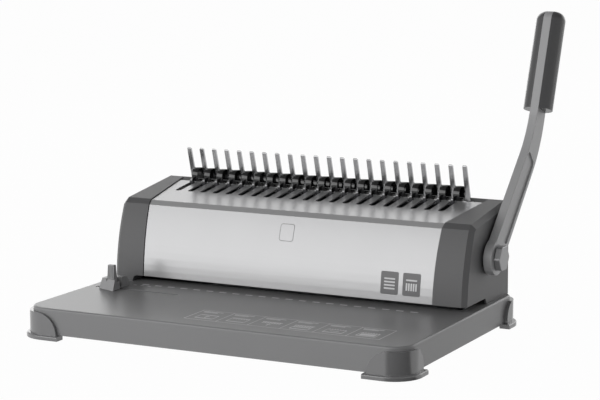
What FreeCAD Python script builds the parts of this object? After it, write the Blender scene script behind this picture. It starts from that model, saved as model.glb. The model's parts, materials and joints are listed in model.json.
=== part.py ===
import FreeCAD, Part
import math
import os
from FreeCAD import Vector

# Desktop comb binding machine.
# Working frame in millimetres: X along the row of tines with zero at its middle, Y towards the back
# with zero at the tine tips, Z up from the desk. The last section moves the origin to the middle of
# the finished machine's box, on the desk.

# Comb row
ring_pitch = 14.2875
ring_count = 21

# Base table
base_top = 29.5
base_bottom = 5.0
base_side = 5.6
table_depth = 147.5
base_behind = 2.5
base_corner = 20.0
base_edge_round = 2.0
base_wall = 2.5
bottom_sheet = 1.5

# Corner feet
foot_proud = 3.5
foot_flange = 3.2
foot_flange_height = 4.2
foot_below_top = 4.0
foot_ear_x = 39.0
foot_ear_y = 34.0
foot_ear_curve = 21.0
pad_radius = 10.0
pad_height = 1.5
pad_proud = 0.6
foot_screw_inset = 15.0

# Side outline of the body, on the end caps
throat_gap = 5.9
front_toe = 4.8
front_bulge = 11.6
front_mid_rise = 40.7
fold_rise = 75.1
fold_depth = 5.7
fold_height = 4.46
fold_room = 8.4
deck_slope = 7.5
crest_room = 7.8
shoulder_depth = 5.6
shoulder_drop = 4.4
rear_depth = 2.1

# End caps and covers
cap_room = 13.4
cap_wall = 2.5
cap_chamfer_x = 4.4
cap_chamfer_depth = 4.4
cap_lip_depth = 18.0
cap_proud = 1.0
step_room = 8.8
step_depth = 4.2
throat_left_room = 4.0
throat_left_round = 5.0
cover_sheet = 1.2
cover_rear_room = 1.8
cover_lip = 12.0
seam_room = 13.0
seam_flare = 0.13
seam_gap = 0.5
rear_strip_room = 2.2
rear_strip_drop = 1.8

# Tines
tine_base_y = 11.0
tine_lean = 17.3
tine_length = 37.2
tine_thick = 2.0
tine_root_width = 5.2
tine_tip_width = 4.2
tine_bend = 3.0
tine_flange_drop = 1.6
tine_flange_room = 0.2
rail_room = 1.6
rail_height = 10.0

# Frames, shaft and lever
frame_sheet = 4.0
frame_gap = 0.3
pivot_rise = 44.6
shaft_radius = 6.0
shaft_left_proud = 4.0
shaft_hub_end = 1.5
run_gap = 0.05
bush_radius = 9.0
bush_flange_radius = 12.0
bush_flange = 2.0
clip_radius = 9.0
clip_width = 1.4
spacer_radius = 8.5
cap_bore_radius = 10.5
lever_gap = 1.9
lever_thick = 8.2
lever_boss_radius = 16.4
lever_root_width = 27.5
lever_width = 25.0
lever_top_width = 22.0
lever_low_lean = 46.5
lever_low_length = 113.0
lever_bend_radius = 120.0
lever_high_lean = 21.0
lever_pocket_depth = 1.6
lever_pocket_front = 10.5
lever_pocket_back = 8.5
lever_pocket_past = 8.0
lever_pocket_round = 4.5
lever_pocket_end = 4.0
grip_length = 99.0
grip_start = 5.0
grip_width = 29.0
grip_depth = 23.0
grip_round = 9.0
grip_screw_radius = 2.0
washer_radius = 12.5
washer_thick = 0.6
bolt_flats = 22.2
bolt_head = 6.2
bolt_shank_radius = 4.0
bolt_shank = 22.0

# Gears that turn the lever's swing into the two strokes
gear_module = 1.25
gear_pressure = 20.0
gear_backlash = 0.3
gear_addendum = 0.9
rack_addendum = 0.75
gear_dedendum = 1.25
punch_teeth = 14
hook_teeth = 22
punch_pinion_room = 12.0
punch_pinion_width = 8.0
hook_pinion_room = 50.0
hook_pinion_width = 10.0
rack_width = 7.0
rack_depth = 8.25
rack_lead = 3.0
rack_end = 6.0
lever_swing = 100.0

# Punch and die set
punch_ahead = 67.0
hole_length = 8.0
hole_width = 2.9
hole_gap = 0.15
die_thick = 6.0
die_width = 28.0
paper_gap = 3.2
paper_depth = 5.5
stripper_ahead = 10.0
stripper_thick = 12.0
punch_rest = 0.3
bar_clear = 0.6
bar_height = 17.5
bar_thick = 12.0
bar_end_gap = 1.5
pin_hold = 8.5
post_room = 5.5
post_radius = 3.0
post_over = 14.0
spring_room = 17.0
spring_radius = 3.8
spring_wire = 1.2
spring_turns = 7.5
spring_pocket = 11.5
spring_pocket_radius = 5.2

# Ring opener
hook_depth = 4.6
hook_sheet = 2.0
hook_front_room = 0.6
hook_back_edge = 1.0
hook_tongue = 4.6
hook_side_room = 0.6
hook_thick = 3.6
hook_tip_width = 1.4
hook_shift = 1.1
hook_ahead = 10.0
hook_stem = 4.0
hook_nose = 2.0
hook_rise = 4.4
hook_nose_height = 1.6
hook_barb_reach = 2.8
hook_barb_low = 0.5
hook_barb_high = 1.6
hook_barb_length = 2.0
slot_width = 6.2
slot_front_room = 4.4
slot_back_room = 1.5
guide_width = 17.6
guide_top_depth = 3.0
guide_low_depth = 10.0
guide_front_room = 2.4
guide_back_room = 2.0
slide_gap = 0.25
tie_rod_back = 0.6
tie_rod_rise = 58.5
tie_rod_radius = 4.0

# Plastic comb on the tines
comb_radius = 7.4
comb_sheet = 1.2
comb_ring_width = 6.6
comb_shift = -1.1
comb_forward = 1.8
comb_rest_gap = 0.35
comb_spine_angle = 112.0
comb_gap_angle = 14.0
comb_end = 3.9

# Edge guide on the table
rail_slot_edge = 9.2
rail_slot_length = 92.0
rail_slot_back = 15.7
rail_slot_width = 4.0
stop_edge = 27.65
stop_back = 92.8
stop_width = 20.4
stop_length = 33.7
stop_height = 10.2
stop_front_slope = 3.4
stop_front_skew = 7.4
stop_left_draft = 2.4
stop_rear_slope = 5.0
stop_waist = 2.2
stop_waist_back = 12.7
stop_notch_length = 12.4
stop_notch_floor = 7.2
stop_pocket_width = 11.0
stop_pocket_left = 0.6
stop_pocket_floor = 1.0
stop_keel = 14.0
clamp_length = 22.0
clamp_width = 18.0
clamp_thick = 3.5
tab_back = 10.9
tab_shift = 2.75
tab_front_room = 0.4
tab_width = 7.4
tab_depth = 7.0
tab_height = 22.5
tab_taper = 1.6
tab_rib = 0.5
tab_rib_count = 4
tab_pivot_height = 4.75
tab_pin_radius = 1.2

# Chip tray under the die
tray_ahead = 26.0
tray_behind = 18.0
tray_wall = 1.6
tray_height = 10.4
tray_end_room = 5.0
tray_gap = 0.3
tray_window_room = 2.8
tray_panel_over = 1.6
tray_pull_length = 26.0
tray_pull_proud = 4.0
tray_pull_height = 3.0

# Fasteners
screw_radius = 1.5
screw_head_radius = 3.2
screw_head = 2.4
screw_length = 10.0

# Strokes, from the lever's swing and the pinions
slope_tan = math.tan(math.radians(deck_slope))
slope_cos = math.cos(math.radians(deck_slope))
slope_sin = math.sin(math.radians(deck_slope))
lean_sin = math.sin(math.radians(tine_lean))
lean_cos = math.cos(math.radians(tine_lean))
punch_pinion_radius = gear_module * punch_teeth / 2
hook_pinion_radius = gear_module * hook_teeth / 2
punch_stroke = punch_pinion_radius * math.radians(lever_swing)
hook_stroke = hook_pinion_radius * math.radians(lever_swing)

# Places along the machine, outwards from the row of tines
tine_count = ring_count + 1
ring_places = [(index - (ring_count - 1) / 2) * ring_pitch for index in range(ring_count)]
tine_places = [(index - (tine_count - 1) / 2) * ring_pitch for index in range(tine_count)]
guide_inner = tine_places[-1] + hook_thick / 2 + hook_side_room
hook_half = guide_inner + hook_tongue
hook_places = [x + hook_shift for x in tine_places[:ring_count]]
frame_inner = guide_inner + guide_width
seam_half = frame_inner - seam_room
cap_side = frame_inner + frame_sheet + cap_room
base_half = cap_side + base_side
lever_inner = cap_side + lever_gap
lever_outer = lever_inner + lever_thick
lever_middle = (lever_inner + lever_outer) / 2
throat_left = -(frame_inner - throat_left_room)
shaft_left_end = -(frame_inner + frame_sheet + shaft_left_proud)
punch_pinion_x = frame_inner - punch_pinion_room
hook_pinion_x = frame_inner - hook_pinion_room
bar_half = frame_inner - bar_end_gap
post_x = frame_inner - post_room
spring_x = frame_inner - spring_room
tray_right = frame_inner - tray_end_room
rail_slot_left = -(base_half - rail_slot_edge)
rail_slot_right = rail_slot_left + rail_slot_length
stop_x = -(base_half - stop_edge)
tab_x = stop_x + tab_shift

# Places from front to back, from the tines and the line of punches
punch_line_y = tine_base_y - punch_ahead
fold_high_y = punch_line_y - fold_room
fold_low_y = fold_high_y - fold_depth
front_mid_y = fold_low_y - front_bulge
front_low_y = front_mid_y - front_toe
base_front = front_low_y - table_depth
crest_y = tine_base_y + crest_room
shoulder_y = crest_y + shoulder_depth
body_rear = shoulder_y + rear_depth
base_rear = body_rear + base_behind
die_front_y = punch_line_y - die_width / 2
die_back_y = punch_line_y + die_width / 2
stop_front_y = punch_line_y + paper_depth
stripper_front_y = punch_line_y - stripper_ahead
bar_front_y = punch_line_y - bar_thick / 2
bar_back_y = punch_line_y + bar_thick / 2
pivot_y = bar_back_y + rack_depth + punch_pinion_radius
tray_front_y = punch_line_y - tray_ahead
tray_back_y = punch_line_y + tray_behind
step_low_y = die_back_y + step_room
step_top_y = step_low_y - step_depth
hook_front_y = tine_base_y - hook_ahead
hook_back_y = hook_front_y + hook_stem
hook_plate_front = fold_high_y + hook_stroke * slope_cos + hook_front_room
hook_plate_back = hook_back_y + hook_back_edge
slot_front_y = hook_front_y - hook_stroke * slope_cos - slot_front_room
slot_back_y = hook_back_y + slot_back_room
guide_front_y = fold_high_y + guide_front_room
guide_back_y = tine_base_y - guide_back_room
tie_rod_y = fold_low_y + tie_rod_back
cover_rear_y = tine_base_y - cover_rear_room
rear_strip_y = tine_base_y + rear_strip_room
rail_front_y = tine_base_y + rail_room
tine_flange_back = crest_y - tine_flange_room
stop_front = base_front + stop_back
rail_slot_y = stop_front + rail_slot_back
tab_y = stop_front + tab_back

# Heights, from the table top
throat_top = base_top + throat_gap
front_mid_z = base_top + front_mid_rise
fold_low_z = base_top + fold_rise
fold_high_z = fold_low_z + fold_height
pivot_z = base_top + pivot_rise
tie_rod_z = base_top + tie_rod_rise
foot_height = base_top - foot_below_top
stripper_low = base_top + paper_gap
stripper_high = stripper_low + stripper_thick
pin_low = stripper_low + punch_rest
bar_low = stripper_high + punch_stroke + bar_clear
bar_high = bar_low + bar_height
post_top = bar_high + post_over
bottom_plate_top = base_bottom + bottom_sheet
tray_window_top = bottom_plate_top + tray_gap + tray_height + tray_window_room
far = 600.0

AXES = {"XY": Vector(0, 0, 1), "YZ": Vector(1, 0, 0), "XZ": Vector(0, 1, 0)}


# Drawing helpers

def spot(plane, u, v, at):
    """Point (u, v) of a drawing plane that stands at the given place along its normal."""
    if plane == "YZ":
        return Vector(at, u, v)
    if plane == "XZ":
        return Vector(u, at, v)
    return Vector(u, v, at)


def closed_wire(points, plane, at):
    """Closed outline through (u, v) or (u, v, radius) corners. A radius rounds its corner."""
    corners = []
    for point in points:
        radius = point[2] if len(point) > 2 else 0.0
        corners.append((spot(plane, point[0], point[1], at), radius))
    turns = []
    for index, (corner, radius) in enumerate(corners):
        if radius == 0:
            turns.append((corner, None, corner))
            continue
        back = (corners[index - 1][0] - corner).normalize()
        ahead = (corners[(index + 1) % len(corners)][0] - corner).normalize()
        half = back.getAngle(ahead) / 2
        reach = radius / math.tan(half)
        towards = (back + ahead).normalize()
        middle = corner + towards * (radius / math.sin(half) - radius)
        turns.append((corner + back * reach, middle, corner + ahead * reach))
    edges = []
    for index, (start, middle, end) in enumerate(turns):
        if middle is not None:
            edges.append(Part.Arc(start, middle, end).toShape())
        following = turns[(index + 1) % len(turns)][0]
        if end.distanceToPoint(following) > 1e-6:
            edges.append(Part.LineSegment(end, following).toShape())
    return Part.Wire(edges)


def prism(points, plane, start, end):
    """Outline in a drawing plane, carried from start to end along the plane's normal."""
    face = Part.Face(closed_wire(points, plane, start))
    return face.extrude(AXES[plane] * (end - start))


def block(x0, x1, y0, y1, z0, z1):
    return Part.makeBox(x1 - x0, y1 - y0, z1 - z0, Vector(x0, y0, z0))


def round_slot(x0, x1, y0, y1, width):
    """Corners of a slot seen from above, with ends rounded nearly to its width."""
    radius = 0.45 * width
    return [(x0, y0, radius), (x1, y0, radius), (x1, y1, radius), (x0, y1, radius)]


def round_bar(radius, start, end):
    return Part.makeCylinder(radius, (end - start).Length, start, end - start)


def upright(radius, x, y, z0, z1):
    return round_bar(radius, Vector(x, y, z0), Vector(x, y, z1))


def fuse_all(shapes):
    return shapes[0].multiFuse(shapes[1:]).removeSplitter()


def mirrored(shape):
    """The same piece on the other side of the machine's middle plane."""
    return shape.mirror(Vector(0, 0, 0), Vector(1, 0, 0))


def both_sides(shape):
    return Part.makeCompound([shape, mirrored(shape)])


# Side outline of the body

def inset_line(first, second, inset):
    """A line of the outline, moved inwards, as a point and a direction in Y and Z."""
    dy = second[0] - first[0]
    dz = second[1] - first[1]
    length = math.hypot(dy, dz)
    dy = dy / length
    dz = dz / length
    return (first[0] + dz * inset, first[1] - dy * inset, dy, dz)


def meet(one, two):
    """Where two lines of the outline cross."""
    cross = one[2] * two[3] - one[3] * two[2]
    along = ((two[0] - one[0]) * two[3] - (two[1] - one[1]) * two[2]) / cross
    return (one[0] + along * one[2], one[1] + along * one[3])


def deck_z(y, depth=0.0):
    """Height of the sloping deck, or of a plane that lies a depth below it."""
    return fold_high_z + (y - fold_high_y) * slope_tan - depth / slope_cos


def front_circle():
    arc = Part.Arc(Vector(0, front_low_y, throat_top), Vector(0, front_mid_y, front_mid_z),
                   Vector(0, fold_low_y, fold_low_z))
    circle = arc.toShape().Curve
    return circle.Center.y, circle.Center.z, circle.Radius


def front_y(z, inset):
    """The bulged front face at a height."""
    centre_y, centre_z, radius = front_circle()
    return centre_y - math.sqrt((radius - inset) ** 2 - (z - centre_z) ** 2)


def body_outline(inset, at):
    """The body's side outline, moved inwards, down to the table top."""
    centre_y, centre_z, radius = front_circle()
    radius = radius - inset
    fold = inset_line((fold_low_y, fold_low_z), (fold_high_y, fold_high_z), inset)
    deck = inset_line((fold_high_y, fold_high_z), (crest_y, deck_z(crest_y)), inset)
    shoulder_z = deck_z(crest_y) - shoulder_drop
    shoulder = inset_line((crest_y, deck_z(crest_y)), (shoulder_y, shoulder_z), inset)
    rear = inset_line((shoulder_y, shoulder_z), (body_rear, base_top), inset)
    towards_y = fold[0] - centre_y
    towards_z = fold[1] - centre_z
    along = towards_y * fold[2] + towards_z * fold[3]
    reach = math.sqrt(along ** 2 - (towards_y ** 2 + towards_z ** 2 - radius ** 2))
    fold_start = (fold[0] + (reach - along) * fold[2], fold[1] + (reach - along) * fold[3])
    if math.hypot(fold_start[0] - fold_low_y, fold_start[1] - fold_low_z) > radius / 2:
        fold_start = (fold[0] - (reach + along) * fold[2], fold[1] - (reach + along) * fold[3])
    low_z = base_top
    low_y = front_y(low_z, inset)
    middle_z = (low_z + fold_start[1]) / 2
    middle_y = front_y(middle_z, inset)
    points = [fold_start, meet(fold, deck), meet(deck, shoulder), meet(shoulder, rear)]
    bottom = (0.0, low_z, 1.0, 0.0)
    points.append(meet(rear, bottom))
    points.append((low_y, low_z))
    spots = [spot("YZ", point[0], point[1], at) for point in points]
    edges = [Part.Arc(spots[-1], Vector(at, middle_y, middle_z), spots[0]).toShape()]
    for first, second in zip(spots, spots[1:]):
        edges.append(Part.LineSegment(first, second).toShape())
    return Part.Wire(edges)


def body_prism(inset, x0, x1):
    return Part.Face(body_outline(inset, x0)).extrude(Vector(x1 - x0, 0, 0))


def seam_prism(grow):
    """Upright block between the two cap seams, which open a little towards the back."""
    low_y = -far
    high_y = far
    low_x = seam_half + seam_flare * (low_y - fold_high_y) + grow
    high_x = seam_half + seam_flare * (high_y - fold_high_y) + grow
    corners = [(-low_x, low_y), (low_x, low_y), (high_x, high_y), (-high_x, high_y)]
    return prism(corners, "XY", 0, far)


# Base table and feet

def plan_outline(offset):
    """The base seen from above, grown by an offset."""
    half = base_half + offset
    radius = base_corner + offset
    low = base_front - offset
    high = base_rear + offset
    return [(-half, low, radius), (half, low, radius), (half, high, radius), (-half, high, radius)]


def foot_screw_places():
    x = base_half - foot_screw_inset
    return [(-x, base_front + foot_screw_inset), (x, base_front + foot_screw_inset),
            (-x, base_rear - foot_screw_inset), (x, base_rear - foot_screw_inset)]


def base_tray():
    shell = prism(plan_outline(0), "XY", base_bottom, base_top)
    upper = [edge for edge in shell.Edges if edge.BoundBox.ZMin > base_top - 0.01]
    shell = shell.makeFillet(base_edge_round, upper)
    shell = shell.cut(prism(plan_outline(-base_wall), "XY", base_bottom - 1, base_top - base_wall))
    bosses = []
    for x, y in foot_screw_places():
        bosses.append(upright(2 * screw_head_radius, x, y, bottom_plate_top, base_top - base_wall))
    shell = fuse_all([shell] + bosses)
    cuts = []
    for x, y in foot_screw_places():
        cuts.append(upright(screw_radius, x, y, 0, foot_screw_top()))
    die_half = frame_inner + frame_sheet + screw_head + slide_gap
    cuts.append(block(-die_half, die_half, die_front_y - slide_gap, die_back_y + slide_gap,
                      base_bottom, base_top + 1))
    for side in (-1, 1):
        near = side * (frame_inner - slide_gap)
        wide = side * die_half
        cuts.append(block(min(near, wide), max(near, wide), die_back_y, frame_back() + slide_gap,
                          base_bottom, base_top + 1))
    slot = round_slot(rail_slot_left, rail_slot_right, rail_slot_y - rail_slot_width / 2,
                      rail_slot_y + rail_slot_width / 2, rail_slot_width)
    cuts.append(prism(slot, "XY", base_bottom, base_top + 1))
    cuts.append(block(-base_half - 1, -base_half + 2 * base_wall,
                      tray_front_y - tray_panel_over - tray_gap, tray_back_y + tray_panel_over + tray_gap,
                      bottom_plate_top, tray_window_top))
    return shell.cut(cuts)


def bottom_plate():
    plate = prism(plan_outline(-base_wall - slide_gap), "XY", base_bottom, bottom_plate_top)
    return plate.cut([upright(screw_radius, x, y, 0, far) for x, y in foot_screw_places()])


def foot_screw_top():
    return pad_height + screw_head + 2 * screw_length


def front_right_foot():
    """Moulded corner that wraps the base, with a flared rim round its bottom."""
    outer_x = base_half + foot_proud
    outer_y = base_front - foot_proud
    arc_y = base_front + base_corner
    ring = prism(plan_outline(foot_proud), "XY", pad_proud, foot_height)
    ring = ring.cut(prism(plan_outline(0), "XY", 0, far))
    ear_x = outer_x - foot_ear_x
    full_x = ear_x + foot_ear_curve
    bend = math.sqrt(0.5)
    rise = foot_height - base_bottom

    def ear(end, full, over, plane, low, high):
        span = full - end
        start = spot(plane, end, base_bottom, low)
        top = spot(plane, full, foot_height, low)
        middle = spot(plane, full - span * bend, base_bottom + rise * bend, low)
        corners = [top, spot(plane, over, foot_height, low), spot(plane, over, 0, low),
                   spot(plane, end, 0, low), start]
        edges = [Part.Arc(start, middle, top).toShape()]
        for first, second in zip(corners, corners[1:]):
            edges.append(Part.LineSegment(first, second).toShape())
        return Part.Face(Part.Wire(edges)).extrude(AXES[plane] * (high - low))

    front = ring.common(ear(ear_x, full_x, far, "XZ", -far, arc_y))
    side = ring.common(ear(outer_y + foot_ear_y, arc_y, -far, "YZ", 0, far))
    side = side.common(block(0, far, arc_y, far, 0, far))
    reach = block(ear_x - foot_flange, far, -far, outer_y + foot_ear_y + foot_flange, 0, far)
    rim_top = pad_proud + foot_flange_height
    rim = prism(plan_outline(foot_proud + foot_flange), "XY", pad_proud, rim_top)
    edges = [edge for edge in rim.Edges if edge.BoundBox.ZMin > rim_top - 0.01]
    rim = rim.makeFillet(foot_flange_height / 3, edges).common(reach)
    rim = rim.cut(prism(plan_outline(-foot_proud), "XY", 0, far))
    sole = prism(plan_outline(0), "XY", pad_proud, base_bottom)
    sole_reach = 2 * foot_screw_inset
    sole = sole.common(block(outer_x - sole_reach, far, -far, outer_y + sole_reach, 0, far))
    foot = fuse_all([front, side, rim, sole])
    x, y = foot_screw_places()[1]
    cuts = [upright(pad_radius, x, y, 0, pad_height),
            upright(screw_head_radius, x, y, pad_height, pad_height + screw_head),
            upright(screw_radius, x, y, 0, far)]
    return foot.cut(cuts)


def to_rear(shape):
    """A front foot's twin at the back: turned over the base's middle line."""
    middle = (base_front + base_rear) / 2
    return shape.mirror(Vector(0, middle, 0), Vector(0, 1, 0))


def foot_pads():
    return Part.makeCompound([upright(pad_radius, x, y, 0, pad_height) for x, y in foot_screw_places()])


def foot_screws():
    screws = []
    for x, y in foot_screw_places():
        head = upright(screw_head_radius, x, y, pad_height, pad_height + screw_head)
        shank = upright(screw_radius, x, y, pad_height, foot_screw_top())
        screws.append(fuse_all([head, shank]))
    return Part.makeCompound(screws)


# End caps, cover and rear cover

def throat_cut(x0, x1):
    corners = [(-far, base_top - 1), (step_low_y, base_top - 1), (step_low_y, base_top),
               (step_top_y, throat_top), (-far, throat_top)]
    return prism(corners, "YZ", x0, x1)


def plain_cap():
    """Hollow right-hand cap with its chamfered rim, before the throat is cut."""
    rim_x = cap_side - cap_chamfer_x
    body = body_prism(0, frame_inner - 4 * cap_chamfer_x, rim_x)
    rim = Part.makeLoft([body_outline(0, rim_x), body_outline(cap_chamfer_depth, cap_side)], True, True)
    hollow = body_prism(cap_wall, 0, rim_x)
    side_hollow = body_prism(cap_chamfer_depth + cap_wall / 2, 0, cap_side - cap_wall)
    lip = block(0, far, -far, front_low_y + cap_lip_depth, 0, throat_top + cap_wall)
    bore = on_shaft(cap_bore_radius, 0, far)
    cap = fuse_all([body, rim])
    cap = cap.cut([hollow.cut(lip), side_hollow.cut(lip)])
    cap = cap.cut([seam_prism(seam_gap / 2)] + cap_screw_holes())
    return cap, bore


def cap_screw_holes():
    holes = []
    for x, z in cap_screw_places():
        holes.append(round_bar(screw_radius, Vector(x, 0, z), Vector(x, far, z)))
    return holes


def right_end_cap():
    cap, bore = plain_cap()
    return cap.cut([bore, throat_cut(0, far)])


def left_end_cap():
    cap, bore = plain_cap()
    mouth = [(0, base_top - 1), (-throat_left, base_top - 1), (-throat_left, throat_top, throat_left_round),
             (0, throat_top)]
    throat = prism(mouth, "XZ", -far, step_low_y)
    return mirrored(cap.cut(throat))


def front_cover():
    """Bent sheet: bulged front, fold and deck, with a slot for every hook."""
    sheet = body_prism(cap_proud, -far, far).cut(body_prism(cap_proud + cover_sheet, -far - 1, far + 1))
    lip_y = front_y(throat_top, cap_proud)
    lip = block(-far, far, lip_y + cover_sheet / 2, lip_y + cover_lip, throat_top, throat_top + cover_sheet)
    sheet = sheet.cut([block(-far - 1, far + 1, -far, far, 0, throat_top),
                       block(-far - 1, far + 1, cover_rear_y, far, 0, far)])
    sheet = fuse_all([sheet, lip]).common(seam_prism(-seam_gap / 2))
    slots = []
    slot_low = deck_z(slot_front_y) - 3 * cover_sheet - cap_proud
    for x in hook_places:
        corners = round_slot(x - slot_width / 2, x + slot_width / 2, slot_front_y, slot_back_y, slot_width)
        slots.append(prism(corners, "XY", slot_low, far))
    return sheet.cut(slots)


def rear_cover():
    """Back panel with a forward-sloping strip behind the tines."""
    shell = body_prism(0, -far, far).cut(body_prism(cap_wall, -far - 1, far + 1))
    strip_low = deck_z(rear_strip_y) - rear_strip_drop
    strip = [(rear_strip_y - 1, strip_low), (rear_strip_y, strip_low), (crest_y, deck_z(crest_y)),
             (crest_y, far), (rear_strip_y - 1, far)]
    shell = shell.cut([block(-far - 1, far + 1, -far, rear_strip_y, 0, far),
                       prism(strip, "YZ", -far - 1, far + 1)])
    holes = [round_bar(screw_radius, Vector(x, 0, z), Vector(x, far, z)) for x, z in rear_screw_places()]
    return shell.common(seam_prism(-seam_gap / 2)).cut(holes)


def rear_y(z, inset):
    """The back wall at a height."""
    shoulder_z = deck_z(crest_y) - shoulder_drop
    wall = inset_line((shoulder_y, shoulder_z), (body_rear, base_top), inset)
    return wall[0] + (z - wall[1]) * wall[2] / wall[3]


# Frames, die set and punch

def frame_back():
    return rear_y(base_top, cap_wall + frame_gap)


def cap_screw_places():
    x = frame_inner + frame_sheet / 2
    return [(x, base_top + 4 * screw_length / 2), (x, deck_z(crest_y) - 3 * screw_length)]


def rear_screw_places():
    z = rail_top() - rail_height / 2
    return [(-2 * seam_half / 3, z), (0, z), (2 * seam_half / 3, z)]


def side_frame():
    """Right-hand steel side plate that carries the shaft, the die set and the rails."""
    inset = cap_wall + frame_gap
    plate = body_prism(inset, frame_inner, frame_inner + frame_sheet)
    foot = [(stop_front_y, tray_window_top), (tray_back_y + 4 * tray_wall, tray_window_top),
            (tray_back_y + 4 * tray_wall, bottom_plate_top), (frame_back(), bottom_plate_top),
            (frame_back(), base_top + 1), (stop_front_y, base_top + 1)]
    lower = prism(foot, "YZ", frame_inner, frame_inner + frame_sheet)
    front = block(0, far, -far, stop_front_y, 0, throat_top + cap_wall + frame_gap)
    plate = fuse_all([plate.cut(front), lower])
    cuts = [on_shaft(bush_radius, 0, far)]
    for x, z in cap_screw_places():
        cuts.append(round_bar(screw_radius, Vector(x, rear_y(z, 0) - screw_length, z), Vector(x, far, z)))
    for y, z in frame_screw_places():
        cuts.append(round_bar(screw_radius, Vector(0, y, z), Vector(far, y, z)))
    return plate.cut(cuts)


def frame_screw_places():
    """Screws through each side plate into the ends of the die, stripper, tine rail and tie rod."""
    stop_y = (stop_front_y + die_back_y) / 2
    return [(stop_y, base_top - die_thick / 2), (stop_y, stripper_low + stripper_thick / 2),
            ((rail_front_y + rail_back()) / 2, rail_top() - rail_height / 2), (tie_rod_y, tie_rod_z)]


def frame_screws():
    screws = []
    outside = frame_inner + frame_sheet
    for y, z in frame_screw_places():
        head = round_bar(screw_head_radius, Vector(outside, y, z), Vector(outside + screw_head, y, z))
        shank = round_bar(screw_radius, Vector(outside - screw_length, y, z), Vector(outside, y, z))
        screw = fuse_all([head, shank])
        screws.append(screw)
        screws.append(mirrored(screw))
    return Part.makeCompound(screws)


def screw_ends():
    """Tapped holes for the frame screws in the pieces between the side plates."""
    holes = []
    end = frame_inner + frame_sheet - screw_length
    for y, z in frame_screw_places():
        holes.append(round_bar(screw_radius, Vector(end, y, z), Vector(far, y, z)))
        holes.append(round_bar(screw_radius, Vector(-far, y, z), Vector(-end, y, z)))
    return holes


def pin_holes(grow, z0, z1):
    half_x = hole_length / 2 + grow
    half_y = hole_width / 2 + grow
    holes = []
    for x in ring_places:
        holes.append(block(x - half_x, x + half_x, punch_line_y - half_y, punch_line_y + half_y, z0, z1))
    return holes


def die_plate():
    plate = block(-frame_inner, frame_inner, die_front_y, die_back_y, base_top - die_thick, base_top)
    return plate.cut(pin_holes(hole_gap, 0, far) + screw_ends())


def paper_stop():
    return block(-frame_inner, frame_inner, stop_front_y, die_back_y, base_top, stripper_low)


def stripper_plate():
    chamfer = paper_gap / 2
    corners = [(stripper_front_y, stripper_low + chamfer), (stripper_front_y + 2 * chamfer, stripper_low),
               (die_back_y, stripper_low), (die_back_y, stripper_high), (stripper_front_y, stripper_high)]
    plate = prism(corners, "YZ", -frame_inner, frame_inner)
    posts = [upright(post_radius, x, punch_line_y, post_low(), far) for x in (-post_x, post_x)]
    return plate.cut(pin_holes(hole_gap, 0, far) + screw_ends() + posts)


def post_low():
    return stripper_low + stripper_thick / 3


def guide_posts():
    return both_sides(upright(post_radius, post_x, punch_line_y, post_low(), post_top))


def punch_bar():
    bar = block(-bar_half, bar_half, bar_front_y, bar_back_y, bar_low, bar_high)
    cuts = pin_holes(0, 0, bar_low + pin_hold)
    for side in (-1, 1):
        cuts.append(upright(post_radius + run_gap, side * post_x, punch_line_y, 0, far))
        cuts.append(upright(spring_pocket_radius, side * spring_x, punch_line_y, 0, bar_low + spring_pocket))
    return bar.cut(cuts)


def punch_pins():
    return Part.makeCompound(pin_holes(0, pin_low, bar_low + pin_hold))


def return_springs():
    """Compression springs that lift the punch bar off the stripper plate."""
    low = stripper_high + spring_wire / 2
    high = bar_low + spring_pocket - spring_wire / 2
    helix = Part.makeHelix((high - low) / spring_turns, high - low, spring_radius)
    section = Part.Wire(Part.makeCircle(spring_wire / 2, Vector(spring_radius, 0, 0), Vector(0, 1, 0)))
    coil = Part.Wire(helix.Edges).makePipeShell([section], True, True)
    coil.translate(Vector(spring_x, punch_line_y, low))
    return both_sides(coil)


# Shaft, gears and racks

def on_shaft(radius, x0, x1):
    """Round bar on the main shaft's axis."""
    return round_bar(radius, Vector(x0, pivot_y, pivot_z), Vector(x1, pivot_y, pivot_z))


def involute(angle):
    return math.tan(angle) - angle


def pinion(teeth, first_angle, x, width):
    """Spur gear on the shaft with one tooth centred on the given angle from +Y."""
    pitch_radius = gear_module * teeth / 2
    base_radius = pitch_radius * math.cos(math.radians(gear_pressure))
    root = pitch_radius - gear_dedendum * gear_module
    tip = pitch_radius + gear_addendum * gear_module
    half_pitch = math.pi / (2 * teeth) - gear_backlash / (4 * pitch_radius)
    full = half_pitch + involute(math.radians(gear_pressure))

    def half_angle(radius):
        if radius <= base_radius:
            return full
        return full - involute(math.acos(base_radius / radius))

    def place(radius, angle):
        y = pivot_y + radius * math.cos(angle)
        z = pivot_z + radius * math.sin(angle)
        return Vector(x - width / 2, y, z)

    edges = []
    step = 2 * math.pi / teeth
    for index in range(teeth):
        middle = math.radians(first_angle) + index * step
        low = half_angle(root)
        high = half_angle(tip)
        mean = (root + tip) / 2
        half = half_angle(mean)
        rise = [place(root, middle - low), place(mean, middle - half), place(tip, middle - high)]
        fall = [place(tip, middle + high), place(mean, middle + half), place(root, middle + low)]
        edges.append(Part.Arc(*rise).toShape())
        edges.append(Part.Arc(rise[2], place(tip, middle), fall[0]).toShape())
        edges.append(Part.Arc(*fall).toShape())
        next_root = place(root, middle + step - low)
        edges.append(Part.Arc(fall[2], place(root, middle + step / 2), next_root).toShape())
    gear = Part.Face(Part.Wire(edges)).extrude(Vector(width, 0, 0))
    return gear.cut(on_shaft(shaft_radius, -far, far))


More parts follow.
